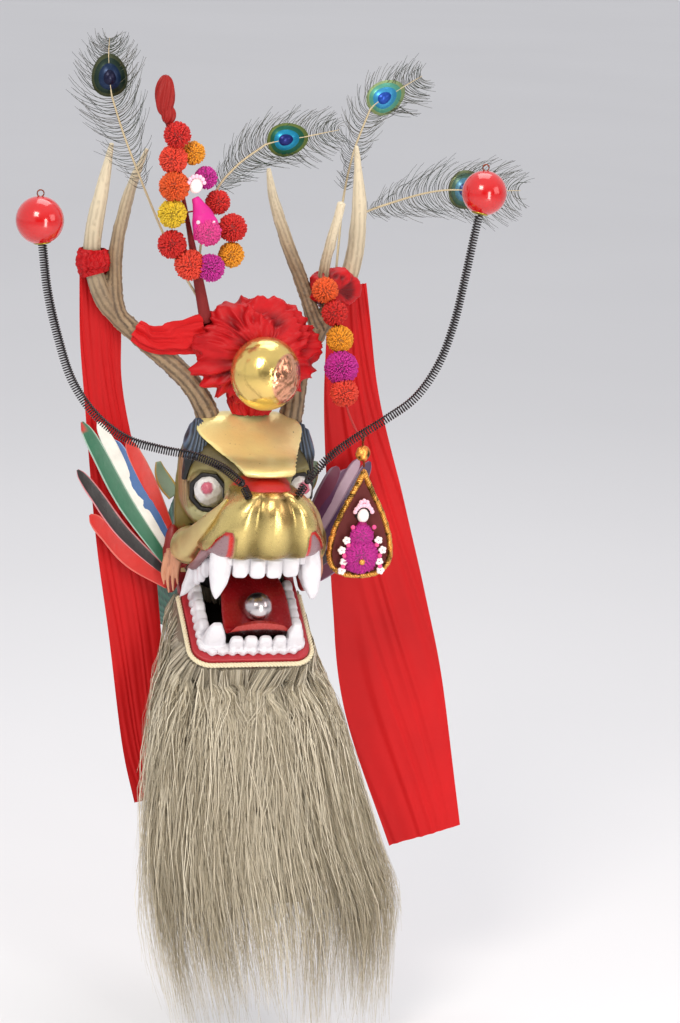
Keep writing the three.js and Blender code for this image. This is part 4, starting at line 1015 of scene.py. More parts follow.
tongue_gloss = enamel("tongue_gloss", "#901218", "#2c0708", [("under", "#2a0a0c"), ("crest", "#b2352e")],
                      roughness=0.24, worn=0.0)
tongue_form = bar([(TONGUE_X, forward, up, wide, thick) for forward, up, wide, thick in TONGUE_ROWS],
                  steps=14, sides=TONGUE_SIDES, power=3.0, across=(1, 0, 0))
lengths = len(finer(TONGUE_ROWS, 14))
u, v = np.tile(oval(TONGUE_SIDES, 3.0), (lengths, 1)).T
run = np.repeat(np.linspace(0, 1, lengths), TONGUE_SIDES)
top_side = -np.sign(v)
curl = step_at(run, 0.8, 0.2)
tongue_rings = tongue_form[0][:-2].reshape(lengths, TONGUE_SIDES, 3)
thinner = (1 - 0.85 * curl * u ** 2).reshape(lengths, TONGUE_SIDES)
middles = tongue_rings.mean(1, keepdims=True)
tongue_rings[..., 1:] = middles[..., 1:] + (tongue_rings[..., 1:] - middles[..., 1:]) * thinner[..., None]
tongue_form[0][:-2] = tongue_rings.reshape(-1, 3)
rim_height = 3.4 * np.abs(u) ** 6 * (1 - curl) + 5 * (0.45 - u ** 2) * curl
rim_height -= 1.6 * bell(u, 0.12) * (top_side > 0) * (run < 0.7)
tongue_form[0][:-2, 2] += rim_height * MM
over = np.append(top_side, [0, 0])
tip = np.append(step_at(run, 0.9, 0.04), [0, 1])
# the underside is painted shade, and the tip's brighter red is a painted highlight
piece("tongue_board", tongue_form, tongue_gloss, node="tongue",
      masks={"under": step_at(-over, 0.1, 0.4) * (1 - tip), "crest": tip})
silvered = plain("silvered", "#cdc6c8", 0.27, 1.0)
PEARL_RADIUS_MM = 16
pearl_form = egg(at(7.5, 2, -128), (PEARL_RADIUS_MM,) * 3, 64)
piece("tongue_pearl_ball", pearl_form, silvered, node="tongue_pearl")

# Antlers: real branches trimmed to a beam and its tines, pegged into the skull. Their bark side is
# brown in the grooves and rubbed to ivory at the tips, with small pearls round the base.
ANTLER_TINES = {
    "left": [
        [(-42, -50, 56, 13), (-49, -50, 82, 12.5), (-65, -52, 110, 12), (-94, -65, 138, 11.5),
         (-131, -80, 168, 11), (-158, -90, 196, 10.5), (-171, -95, 234, 10), (-172, -95, 267, 9.5),
         (-166, -90, 311, 8), (-158, -80, 369, 2.5)],
        [(-131, -80, 168, 9), (-144, -85, 186, 9), (-147, -95, 217, 8.5), (-144, -100, 261, 7.5),
         (-131, -105, 315, 6), (-114, -105, 361, 2.5)],
    ],
    "right": [
        [(45, -50, 58, 13), (49, -50, 88, 12.5), (55, -52, 133, 12), (77, -65, 169, 11.5), (102, -80, 200, 11),
         (119, -90, 238, 10), (125, -95, 299, 8.5), (117, -90, 371, 2.5)],
        [(77, -65, 170, 9), (70, -70, 189, 8.5), (61, -80, 217, 8), (45, -90, 259, 7.5), (29, -100, 307, 6),
         (22, -105, 342, 2.5)],
        [(92, -74, 190, 7.5), (82, -69, 216, 6.5), (82, -64, 245, 6), (93, -50, 313, 4.5)],
    ],
}
ANTLER_GROOVES, ANTLER_GROOVE_MM, ANTLER_PEARL_MM = 9, 0.7, 3.2


def antler_material():
    """Dry horn: darker brown in the grooves, ivory toward the tips, with a low satin shine."""
    material, tree, horn = new_film("dry_horn")
    place = add_node(tree, "ShaderNodeTexCoord").outputs["Object"]
    streak = add_node(tree, "ShaderNodeTexNoise", {
        "Vector": place, "Scale": 55.0, "Detail": 6.0, "Roughness": 0.7}).outputs["Fac"]
    tip, cut = [add_node(tree, "ShaderNodeAttribute", attribute_name=mask).outputs["Fac"] for mask in ("tip", "cut")]
    tone = linear("#5a4330")
    for amount, paint in ((streak, "#b59b78"), (tip, "#d6c9ad"), (cut, "#38281b")):
        tone = add_node(tree, "ShaderNodeMix", {0: amount, 6: tone, 7: linear(paint)}, data_type="RGBA").outputs[2]
    tree.links.new(tone, horn.inputs["Base Color"])
    relief = add_node(tree, "ShaderNodeBump", {"Height": streak, "Strength": 0.3, "Distance": 0.0006})
    tree.links.new(relief.outputs[0], horn.inputs["Normal"])
    horn.inputs["Roughness"].default_value = 0.55
    return material


def nearest_on(points, centres):
    """The number of the centre nearest to each point."""
    return np.concatenate([np.linalg.norm(part[:, None] - centres, axis=2).argmin(1)
                           for part in np.array_split(points, len(points) // 2000 + 1)])


def curve(rows, steps):
    """Points in metres on a smooth curve through rows that start with x, forward and up."""
    return at(*finer(rows, steps)[:, :3].T)


dry_horn = antler_material()
for name, tines in ANTLER_TINES.items():
    form = carve(*[rod(rows, steps=8, sides=24) for rows in tines], voxel=1.5, rubs=3)
    paths = [curve(rows, 16) for rows in tines]
    ways = [np.gradient(path, axis=0) for path in paths]
    centres, along = np.vstack(paths), unit(np.vstack(ways))
    share = np.concatenate([np.linspace(0, 1, len(path)) for path in paths])
    length = np.concatenate([np.cumsum(np.linalg.norm(way, axis=1)) / MM for way in ways])
    near = nearest_on(form[0], centres)
    out = form[0] - centres[near]
    first = np.cross(along[near], (0, -1, 0))
    second = np.cross(along[near], first)
    angle = np.arctan2((out * second).sum(1), (out * first).sum(1))
    wave = np.cos(angle * ANTLER_GROOVES + length[near] / 22 + 1.5 * bumps(form[0], 30, 4))
    groove = step_at(-wave, 0.35, 0.9) * (1 - 0.8 * share[near])
    pearls = step_at(bumps(form[0], ANTLER_PEARL_MM, 5), 0.25, 0.4) * (1 - share[near])
    form = pushed(form, 1.0 * pearls - ANTLER_GROOVE_MM * groove + 0.6 * bumps(form[0], 12, 6))
    piece(f"antler_horn_{name}", form, dry_horn, node=f"antler_{name}", keep=0.4,
          masks={"tip": step_at(share[near], 0.72, 0.5), "cut": groove * 0.9})

# Feelers: coil springs of round steel wire. Thin steel pegs driven in beside the nose hold them, wound
# with each spring's last turns. A ball of red lacquered wood stands on each tip, with a gilt rim below
# and a wire loop above it.
FEELER_ROWS = {
    "left": [(-30, 80, 20), (-38, 84, 34), (-59, 86, 48), (-88, 85, 60), (-125, 82, 67), (-162, 78, 78),
             (-194, 73, 102), (-219, 68, 138), (-235, 63, 185), (-246, 58, 231), (-252, 54, 278)],
    "right": [(31, 80, 22), (39, 84, 38), (55, 86, 56), (82, 86, 77), (118, 84, 99), (151, 80, 122),
              (176, 75, 157), (192, 70, 200), (203, 64, 247), (212, 58, 290), (218, 54, 316)],
}
SOCKET_SUNK_MM, SOCKET_PROUD_MM, SEAT_GAP_MM, SEAT_MM, PEG_MM = 14, 6, 0.3, 5, 1.9
COIL_MM, COIL_WIRE_MM = 4.2, 0.78
COIL_PITCH_MM = {"left": 2.6, "right": 2.9}
BALL_MM = {"left": 25, "right": 24}


def swept(centres, radius, sides=6, wide=(0.0, 0.0, 1.0)):
    """A round wire along points in metres; radius in mm, one value or one a point."""
    along = unit(np.gradient(centres, axis=0))
    first = np.cross(along, wide)
    size = np.linalg.norm(first, axis=1, keepdims=True)
    first = unit(np.where(size > 0.05, first / size.clip(1e-6), np.cross(along, (1.0, 0, 0))))
    second = np.cross(along, first)
    u, v = oval(sides).T
    radius = np.broadcast_to(radius, len(centres))[:, None, None] * MM
    return skin(centres[:, None] + (first[:, None] * u[:, None] + second[:, None] * v[:, None]) * radius)


def evenly(centres, spacing):
    """Points along a path, that many millimetres apart."""
    far = np.append(0, np.cumsum(np.linalg.norm(np.diff(centres, axis=0), axis=1))) / MM
    stops = np.arange(0, far[-1], spacing)
    return np.stack([np.interp(stops, far, centres[:, i]) for i in range(3)], -1), stops


def along_and_aside(path):
    """The unit directions along a path, and square to them in the view from the front."""
    along = unit(np.gradient(path, axis=0))
    return along, unit(np.cross(along, (0, -1.0, 0)))


def coiled(centres, radius, pitch, wire, sides=5, steps=8, start=0.0):
    """A wire coiled round a path: the coil's radius, pitch and wire radius in millimetres."""
    path, stops = evenly(centres, pitch / steps)
    along, first = along_and_aside(path)
    second = np.cross(along, first)
    turn = (stops / pitch * 2 * math.pi + start)[:, None]
    return swept(path + (first * np.cos(turn) + second * np.sin(turn)) * radius * MM, wire, sides)


steel = plain("dark_steel", "#3b3739", 0.32, 1.0)
loop_wire = plain("loop_wire", "#7d3a24", 0.35, 1.0)
lacquer = plain("red_lacquer", "#c00f12", 0.18, Coat_Weight=0.6)
rim_leaf = plain("rim_leaf", "#a99a3e", 0.35, 1.0)
for name, s in SIDES:
    path = at(*np.array(FEELER_ROWS[name], float).T)
    out = unit(path[1] - path[0])
    seat = path[0] + out * (SOCKET_PROUD_MM + SEAT_GAP_MM + SEAT_MM) * MM
    peg = turned(path[0], out, [(-SOCKET_SUNK_MM, PEG_MM), (SOCKET_PROUD_MM - 1, PEG_MM), (SOCKET_PROUD_MM, 1.4)], 32)
    fixed = curve(rows_of(path[0] + np.outer((-8, 0, 5.4), out) * MM), 24)
    fixed_turns = coiled(fixed, COIL_MM, COIL_PITCH_MM[name], COIL_WIRE_MM)
    piece(f"feeler_cup_{name}", join(peg, fixed_turns), steel, node=f"feeler_socket_{name}")
    centres = curve(np.vstack([rows_of(seat[None]), FEELER_ROWS[name][2:]]), 24)
    coil = coiled(centres, COIL_MM, COIL_PITCH_MM[name], COIL_WIRE_MM)
    body = f"feeler_{name}"
    piece(f"feeler_coil_{name}", join(coil, egg(seat, (SEAT_MM * 0.7,) * 3, 32)), steel, body,
          node=f"feeler_spring_{name}")
    tip_way = unit(path[-1] - path[-2])
    radius = BALL_MM[name]
    centre = path[-1] + tip_way * (radius + 0.3) * MM
    ball = egg(centre, (radius,) * 3, 72)
    piece(f"feeler_lacquer_{name}", ball, lacquer, body, node=f"feeler_ball_{name}")
    rim_profile = [(radius - 2.2, 8.6), (radius - 1.2, 9.2), (radius - 0.4, 7.0), (radius + 0.1, 5)]
    rim = turned(centre, -tip_way, rim_profile, 40)
    piece(f"feeler_rim_{name}", rim, rim_leaf, body, node=f"feeler_ball_{name}")
    angle = np.linspace(0, 2 * math.pi, 32, endpoint=False)
    ring = centre + np.array([0, 0, radius + 3]) * MM + np.stack(
        [3.5 * np.cos(angle), 0 * angle, 3.5 * np.sin(angle)], -1) * MM
    loop = swept(np.vstack([ring, ring[:2]]), 0.7, 8)
    piece(f"feeler_loop_{name}", loop, loop_wire, body, node=f"feeler_ball_{name}")

# Globe: a blown glass float gilded inside, so that its face is a mirror, with a stippled patch of rose
# gold. It is tied on over the forehead, in front of the rosette.
globe_leaf = gold_leaf("globe_leaf", "#f2d27c", "#e2b878", 0.1)
globe_form = egg(at(1, 14, 135), (38, 36, 40), 160)
x, forward, up = millimetres(globe_form[0])
patch = step_at(-np.hypot((x - 19) / 0.78, (up - 134) / 1.12), -24, 1.5) * step_at(forward, 22, 4)
stipple = bumps(globe_form[0], 2.6, 9)
globe_form = pushed(globe_form, patch * (0.3 + 0.5 * stipple))
piece("globe_mirror", globe_form, globe_leaf, node="gold_globe",
      masks={"blush": patch, "cut": patch * 0.6 * step_at(-stipple, 0.15, 0.5)})

# Cloth: crimson satin, plain woven, gathered by hand. One helper makes a length of cloth from rows
# down its middle, pleated along its length, and the pleats wander a little.
SATIN_SHINE = {"Specular IOR Level": 0.22, "Sheen Weight": 0.07, "Sheen Roughness": 0.4}


def satin(name, colour, shade, roughness=0.45):
    """Satin: a soft sheen across fine threads, darker in its deep folds as painted shade."""
    material, tree, cloth = new_film(name)
    place = add_node(tree, "ShaderNodeTexCoord").outputs["Object"]
    blot = add_node(tree, "ShaderNodeTexNoise", {"Vector": place, "Scale": 16.0, "Detail": 4.0})
    thread = add_node(tree, "ShaderNodeTexNoise", {"Vector": place, "Scale": 900.0, "Detail": 2.0})
    tone = add_node(tree, "ShaderNodeMix", {0: blot.outputs["Fac"], 6: linear(shade), 7: linear(colour)},
                    data_type="RGBA").outputs[2]
    fold = add_node(tree, "ShaderNodeAttribute", attribute_name="fold").outputs["Fac"]
    tone = add_node(tree, "ShaderNodeMix", {0: fold, 6: tone, 7: linear("#4e050a")}, data_type="RGBA").outputs[2]
    tree.links.new(tone, cloth.inputs["Base Color"])
    relief = add_node(tree, "ShaderNodeBump", {"Height": thread.outputs["Fac"], "Strength": 0.3, "Distance": 0.0003})
    tree.links.new(relief.outputs[0], cloth.inputs["Normal"])
    for socket, value in {**SATIN_SHINE, "Roughness": roughness, "Sheen Tint": linear("#ff7468")}.items():
        cloth.inputs[socket].default_value = value
    return material


def gathered(rows, folds, depth, steps=10, across=160, seed=0, wander=1.0, closed=False):
    """A pleated cloth along rows of [x, forward, up, half width, half thickness] in mm. Open, it hangs
    flat; closed, it is drawn round into a tube."""
    rows = finer(rows, steps)
    centres = at(*rows[:, :3].T)
    along, wide = along_and_aside(centres)
    deep = np.cross(wide, along)
    down = np.linspace(0, 1, len(rows))[:, None]
    run = (np.arange(across) / (across if closed else across - 1))[None]
    way = run * 2 * math.pi * folds
    random = np.random.default_rng(seed)
    drift = sum(random.uniform(0.4, 1) * np.sin(2 * math.pi * (k * run + random.uniform(0.3, 1.4) * down * k)
                                                + random.uniform(0, 6)) for k in (1, 2, 3))
    pleat = np.sin(way + wander * drift) * (0.65 + 0.35 * np.sin(way * 0.37 + 3 * down + seed))
    pleat = pleat + 0.35 * np.sin(2.3 * way + 4 * drift + 5 * down)
    half, thick = rows[:, 3:4], rows[:, 4:5]
    if closed:
        a = (half + depth * pleat) * np.cos(2 * math.pi * run)
        b = (thick + depth * pleat) * np.sin(2 * math.pi * run)
    else:
        a = half * (2 * run - 1) + 0.25 * depth * np.cos(way + wander * drift)
        b = depth * pleat
    rings = centres[:, None] + (wide[:, None] * a[..., None] + deep[:, None] * b[..., None]) * MM
    return skin(rings, capped=False, looped=closed)


crimson_satin = satin("crimson_satin", "#c81219", "#960a10")
sash_satin = satin("sash_satin", "#cc1216", "#b41014", 0.6)
ROSETTE_CENTRE, ROSETTE_RADII = (0, -28, 152), (71, 34, 57)
ROSETTE_FOLDS, ROSETTE_FOLD_MM = 24, 8.5


def ruffle(centre, radii, folds, depth, rings=48, around=360, seed=2, start=0.1, stop=2.3):
    """A round of cloth crumpled to its middle: sharp folds wander out from the front and turn back at
    the edge, with smaller creases between them."""
    lean = np.linspace(start, stop, rings)[:, None]
    turn = np.linspace(0, 2 * math.pi, around, endpoint=False)[None]

    def creases(count, run, number, warp=0.0):
        """Noise with that many cells round the cloth and run cells for each radian from its middle."""
        far = count / (2 * math.pi)
        places = np.stack(np.broadcast_arrays(far * np.cos(turn + warp), far * np.sin(turn + warp), run * lean), -1)
        return bumps(places.reshape(-1, 3) * MM, 1, number).reshape(places.shape[:2])

    warp = 0.42 * creases(6, 1.4, seed + 20)
    coarse = 1 - 2.1 * np.abs(creases(folds, 1.1, seed, warp))
    small = 1 - 2.1 * np.abs(creases(folds * 2, 2.4, seed + 1, -warp))
    fold = depth * ((coarse + 0.5 * small) * np.sin(lean).clip(0.2) + 0.7 * creases(5, 1.5, seed + 2))
    size = 1 + (fold - depth) / np.mean(radii)
    x = radii[0] * np.sin(lean) * np.cos(turn) * size
    up = radii[2] * np.sin(lean) * np.sin(turn) * size
    forward = radii[1] * np.cos(lean) * size
    # the mask it returns marks the sunken folds, darkened in the satin as painted shade
    return (skin(at(centre[0] + x, centre[1] + forward, centre[2] + up), capped=False),
            {"fold": 0.85 * step_at(-fold / depth, -0.15, 1.3).reshape(-1)})


rosette_form, rosette_fold_shade = ruffle(ROSETTE_CENTRE, ROSETTE_RADII, ROSETTE_FOLDS, ROSETTE_FOLD_MM)
rosette_cloth = piece("rosette_cloth", rosette_form, crimson_satin, node="rosette",
                      masks=rosette_fold_shade)
TIE_ROWS = [(0, -40, 124, 25, 16), (0, -40, 106, 28, 18), (0, -40, 92, 25, 16), (0, -40, 80, 19, 12)]
tie_form = gathered(TIE_ROWS, 15, 2.4, seed=4, closed=True)
tie_cloth = piece("rosette_tie", tie_form, crimson_satin, node="rosette")
SWAG_ROWS = [(-55, -30, 172, 21, 10), (-84, -42, 163, 17, 8), (-109, -58, 159, 14, 7), (-126, -70, 166, 11, 6)]
swag_form = gathered(SWAG_ROWS, 7, 2.4, seed=7, closed=True)
swag_cloth = piece("swag_cloth", swag_form, sash_satin, node="swag")
WRAP_ROWS = [(-168, -94, 224, 14, 14), (-170, -95, 231, 17, 17), (-171, -95, 238, 17.5, 17.5),
             (-172, -95, 246, 16, 16), (-172, -95, 252, 13.5, 13.5)]
wrap_form = gathered(WRAP_ROWS, 13, 1.8, across=140, seed=9, closed=True)
wrap_left = piece("wrap_cloth_left", wrap_form, crimson_satin, node="antler_wrap_left")
wrap_form, wrap_fold_shade = ruffle((93, -76, 214), (31, 22, 24), 13, 3.0, 30, 200, 11, 0.05, 2.4)
wrap_right = piece("wrap_cloth_right", wrap_form, crimson_satin, node="antler_wrap_right",
                   masks=wrap_fold_shade)
SASH_ROWS = {
    "left": [(-161, -112, 248, 22, 4), (-157, -112, 159, 23, 4), (-150, -112, 81, 22, 4), (-124, -112, -67, 31, 4),
             (-106, -112, -184, 30, 4), (-90, -112, -313, 26, 4), (-76, -112, -384, 23, 4)],
    "right": [(118, -100, 214, 22, 4), (132, -108, 82, 32, 4), (155, -112, -35, 44, 4), (178, -112, -153, 55, 4),
              (203, -112, -273, 60, 4), (250, -114, -440, 44, 4)],
}
sash_form = gathered(SASH_ROWS["left"], 1.0, 1.5, steps=14, across=90, seed=21, wander=0.45)
sash_left = piece("sash_cloth_left", sash_form, sash_satin, node="sash_left")
sash_form = gathered(SASH_ROWS["right"], 0.8, 2.2, steps=16, across=120, seed=23, wander=0.45)
sash_right = piece("sash_cloth_right", sash_form, sash_satin, node="sash_right")

# Beard: long undyed ramie hair, laid in pleated locks over a thinner layer and bound round the jaw by
# a three-strand cord. Each hair tapers, and the locks thin out and part toward their ends.
BEARD_COLLAR = [(-9.5, -2, 133, 74), (-40, -4, 130, 82)]
BEARD_LEVELS = [
    # x, forward, up, half width, half depth
    (5, -30, -262, 106, 56), (25, -26, -400, 132, 44), (42, -22, -480, 146, 38), (52, -20, -565, 138, 30),
    (64, -18, -648, 122, 18),
]
LOCKS, HAIR_STEPS, HAIR_MM = 128, 8, 1.05
BEARD_PARTS = [
    # name, first and last degree round the beard from its right side, hairs
    ("front_left", 90, 184, 5400), ("front_right", -4, 90, 5400), ("rear", 184, 356, 2600),
]


def beard_ring(level, u, v):
    """The beard's outline at one level, for u and v round an oval."""
    if level < len(BEARD_COLLAR):
        above, back, front, wide = BEARD_COLLAR[level]
        return in_jaw(u * wide, (back + front) / 2 + v * (front - back) / 2, above)
    x, forward, up, wide, deep = BEARD_LEVELS[level - len(BEARD_COLLAR)]
    return at(x + u * wide, forward + v * deep, up)


def beard_at(share, u, v):
    """A point in the beard at a share of its length, smoothly between the levels."""
    levels = np.stack([beard_ring(i, u, v) for i in range(len(BEARD_COLLAR) + len(BEARD_LEVELS))])
    stops = np.array([0, 0.06, 0.30, 0.52, 0.66, 0.82, 1.0])
    i = np.clip(np.searchsorted(stops, share, "right") - 1, 0, len(stops) - 2)
    t = (share - stops[i]) / (stops[i + 1] - stops[i])
    pick = np.arange(len(share))
    before, after = levels[np.maximum(i - 1, 0), pick], levels[np.minimum(i + 2, len(stops) - 1), pick]
    here, there = levels[i, pick], levels[i + 1, pick]
    t = t[:, None]
    lower, upper = (there - before) / 2, (after - here) / 2
    return ((2 * t ** 3 - 3 * t ** 2 + 1) * here + (t ** 3 - 2 * t ** 2 + t) * lower
            + (3 * t ** 2 - 2 * t ** 3) * there + (t ** 3 - t ** 2) * upper)


def beard_round(turn, share):
    """u and v on the beard's outline at an angle, square against the jaw and rounder farther down."""
    power = 0.45 + 0.35 * step_at(share, 0.07, 0.12)
    return [np.sign(way) * np.abs(way) ** power for way in (np.cos(turn), np.sin(turn))]


def hair_material(name, colour, dark, dusk):
    """Dull plant fibre, each hair a little lighter or darker than the next, and darker as painted shade where
    it lies deep in the beard, at the edges of the locks and near the middle of a pompom.
    """
    material, tree, fibre = new_film(name)
    tone = linear(dark)
    for mask, paint in (("own", colour), ("deep", dusk)):
        amount = add_node(tree, "ShaderNodeAttribute", attribute_name=mask).outputs["Fac"]
        tone = add_node(tree, "ShaderNodeMix", {0: amount, 6: tone, 7: linear(paint)}, data_type="RGBA").outputs[2]
    tree.links.new(tone, fibre.inputs["Base Color"])
    fibre.inputs["Roughness"].default_value = 0.6
    return material


def hairs(first, last, count, seed):
    """Flat tapered hairs in locks, over a part of the beard from one degree round it to another."""
    random = np.random.default_rng(seed)
    locks = round(LOCKS * (last - first) / 360)
    lock_turn = np.radians(first + (np.arange(locks) + random.uniform(0.15, 0.85, locks)) / locks * (last - first))
    lock_deep = random.uniform(0.66, 1.0, locks)
    lock_long = random.uniform(0.5, 1.0, locks)
    lock_wave = random.uniform(0, 6, (locks, 3))
    lock = random.integers(0, locks, count)
    own = random.uniform(0, 1, count)
    spread = random.normal(0, 1, (count, 2)) * np.where(random.uniform(0, 1, (count, 1)) < 0.16, 2.3, 1)
    length = lock_long[lock] * random.uniform(0.6, 1.0, count)
    frizz = random.uniform(0, 6, (count, 2))
    centres, middles, depth = [], [], []
    for step in range(HAIR_STEPS + 1):
        part = step / HAIR_STEPS
        share = length * part
        loose = 0.012 + 0.1 * step_at(share, 0.3, 0.56)
        turn = lock_turn[lock] + loose * spread[:, 0] + 0.03 * part * np.sin(7 * part + lock_wave[lock, 0])
        deep = lock_deep[lock] + 0.05 * spread[:, 1] * (0.4 + part) + 0.03 * np.sin(6 * part + lock_wave[lock, 1])
        deep = np.maximum(deep.clip(0.4, 1.02), 0.95 * step_at(-share, -0.09, 0.06))
        u, v = [way * deep for way in beard_round(turn, share)]
        centre = beard_at(share, u, v)
        stray = MM * min(part * 2, 1)
        centre[:, 0] += stray * (5.0 * part * np.sin(8 * part + lock_wave[lock, 2])
                                 + 4.4 * np.sin(11 * part + frizz[:, 0]))
        centre[:, 1] += stray * 4.0 * np.sin(10 * part + frizz[:, 1])
        centres.append(centre)
        middles.append(beard_at(share, 0 * u, 0 * v))
        # hairs deep in the beard and at the edges of the locks are darkened as painted shade
        depth.append(1.2 * (1 - deep) * (0.45 + 0.55 * (share < 0.4))
                     + 0.25 * step_at(np.abs(spread[:, 0]), 1.2, 0.8) * step_at(-share, -0.3, 0.4))
    centres, middles = np.stack(centres, 1), np.stack(middles, 1)
    along = np.gradient(centres, axis=1)
    across = np.cross(along, centres - middles)
    across /= np.linalg.norm(across, axis=2, keepdims=True).clip(1e-9)
    out = np.cross(across, along)
    out /= np.linalg.norm(out, axis=2, keepdims=True).clip(1e-9)
    tilt = random.uniform(-0.9, 0.9, count)[:, None, None]
    part = np.linspace(0, 1, HAIR_STEPS + 1)[None, :, None]
    half = HAIR_MM / 2 * MM * (1 - 0.8 * part ** 2) * (0.7 + 0.6 * own)[:, None, None]
    edge = (across * np.cos(tilt) + out * np.sin(tilt)) * half
    points = np.stack([centres - edge, centres + edge], 2).reshape(-1, 3)
    corner = (np.arange(count) * (HAIR_STEPS + 1))[:, None] * 2 + np.arange(HAIR_STEPS)[None] * 2
    faces = np.stack([corner, corner + 1, corner + 3, corner + 2], -1).reshape(-1, 4)
    return ((points, faces.tolist()), np.repeat(own, (HAIR_STEPS + 1) * 2),
            np.repeat(np.stack(depth, 1).reshape(-1), 2).clip(0, 1))


ramie = hair_material("ramie", "#ddd3bd", "#a99d84", "#564a3a")
for number, (name, first, last, count) in enumerate(BEARD_PARTS):
    form, own, shade = hairs(first, last, count, 5 + number)
    piece(f"beard_hair_{name}", form, ramie, node="beard", masks={"own": own, "deep": shade})
UNDER_POINTS, UNDER_PLEATS = 240, 47
under_turn = np.linspace(0, 2 * math.pi, UNDER_POINTS, endpoint=False)
under_rings = []
under_shares = np.linspace(0.0, 0.66, 24)
for share in under_shares:
    pleat = 0.965 - 0.25 * step_at(share, 0.14, 0.28) - 0.1 * share - 0.5 * step_at(share, 0.6, 0.24)
    pleat = pleat + 0.05 * share ** 0.5 * np.sin(under_turn * UNDER_PLEATS + 2 * np.sin(5 * share + under_turn * 3))
    under_rings.append(beard_at(np.full(UNDER_POINTS, share), *[way * pleat for way in beard_round(under_turn, share)]))
under_form = skin(under_rings, capped=False)
under_own = np.tile(0.5 + 0.5 * np.sin(under_turn * UNDER_PLEATS), len(under_shares))
# the under layer is darkened all over as painted shade
piece("beard_under", under_form, ramie, node="beard",
      masks={"own": under_own * 0.5, "deep": 0.8 + 0 * under_own})

BRAID_MM, BRAID_ABOVE, BRAID_STRANDS = 3.0, -5, 3
braid_reach = BRAID_MM + 0.3
braid_path = in_jaw(*hoof(66 + braid_reach, 126 + braid_reach, 26, JAW_CORNER * 66 + braid_reach).T, BRAID_ABOVE)
braid_own = plain("braid_cord", "#dccfae", 0.7)
braid_strands = [coiled(braid_path, 1.4, 12, 1.5, 6, 14, strand * 2 * math.pi / BRAID_STRANDS)
                 for strand in range(BRAID_STRANDS)]
piece("braid_strands", join(*braid_strands), braid_own, node="beard_braid")

# Pompoms: balls of cut wool, bound at the middle so that the ends stand out all round, on red wires.
# The standing spray's stem is wound with dark red thread. The other wire hangs from the right antler.
YARN = {
    "red": "#dc2018", "orange": "#f4601e", "gold": "#f8a31c", "pink": "#ea3f92", "magenta": "#d0259c",
    "coral": "#f4482f", "yellow": "#f4cf2c",
}
YARN_ENDS, YARN_MM = 850, 1.0


def pompom(x, forward, up, radius, seed):
    """A core and its cut ends of yarn, each a thin three-sided spike."""
    random = np.random.default_rng(seed)
    count = int(YARN_ENDS * (radius / 15) ** 2)
    way = all_round(count, GOLDEN_TURN / 2)
    way = unit(way + random.normal(0, 0.13, way.shape))
    aside = unit(np.cross(way, random.normal(0, 1, way.shape)))
    over = np.cross(way, aside)
    centre = at(x, forward, up)
    reach = radius * random.uniform(0.93, 1.08, (count, 1))
    foot, tip = centre + way * radius * 0.6 * MM, centre + way * reach * MM
    points = np.stack([end + (aside * math.cos(a) + over * math.sin(a)) * YARN_MM * thick * MM
                       for end, thick in ((foot, 1.2), (tip, 0.8)) for a in (0, 2.1, 4.2)], 1).reshape(-1, 3)
    base = np.arange(count)[:, None] * 6
    sides = np.vstack([base + [a, b, b + 3, a + 3] for a, b in ((0, 1), (1, 2), (2, 0))])
    quads = sides.tolist() + (base + [3, 4, 5]).tolist()
    core = egg(centre, (radius * 0.8,) * 3, 24)
    # the core and the feet of the ends are darkened as painted shade inside the ball
    shade = np.append(np.tile([0.6, 0.6, 0.6, 0, 0, 0], count), np.full(len(core[0]), 0.9))
    own = np.append(np.repeat(random.uniform(0, 1, count), 6), np.zeros(len(core[0])))
    return join((points, quads), core), {"own": own, "deep": shade}


SPRAY_POMPOMS = [
    # x, forward, up, radius, colour
    (-101, -10, 387, 14, "red"), (-104, -10, 361, 15, "coral"), (-81, -20, 367, 12.5, "gold"),
    (-103, -5, 333, 16, "orange"), (-66, -20, 341, 12, "magenta"), (-52, -20, 315, 13, "red"),
    (-104, -5, 304, 15, "yellow"), (-103, -5, 271, 15, "red"), (-37, -10, 289, 15, "red"),
    (-37, -10, 260, 13.5, "gold"), (-84, 0, 250, 16, "coral"), (-62, 5, 248, 14.5, "magenta"),
]
STRING_POMPOMS = [
    (76, -38, 218, 14, "orange"), (86, -30, 194, 14, "red"), (91, -22, 167, 14.5, "gold"),
    (92, -12, 137, 18, "magenta"), (94, -2, 111, 15, "coral"),
]


def darker(hex_colour, share):
    """The same colour with each sRGB part scaled down."""
    return "#" + "".join(f"{round(int(hex_colour[i:i + 2], 16) * share):02x}" for i in (1, 3, 5))


yarns = {name: hair_material(f"yarn_{name}", colour, darker(colour, 0.86), darker(colour, 0.6))
         for name, colour in YARN.items()}
for group, rows in (("spray", SPRAY_POMPOMS), ("string", STRING_POMPOMS)):
    for i, (x, forward, up, radius, colour) in enumerate(rows):
        form, masks = pompom(x, forward, up, radius, 40 + i)
        piece(f"{group}_pompom_{i + 1}", form, yarns[colour], node=f"pompom_{group}", masks=masks)

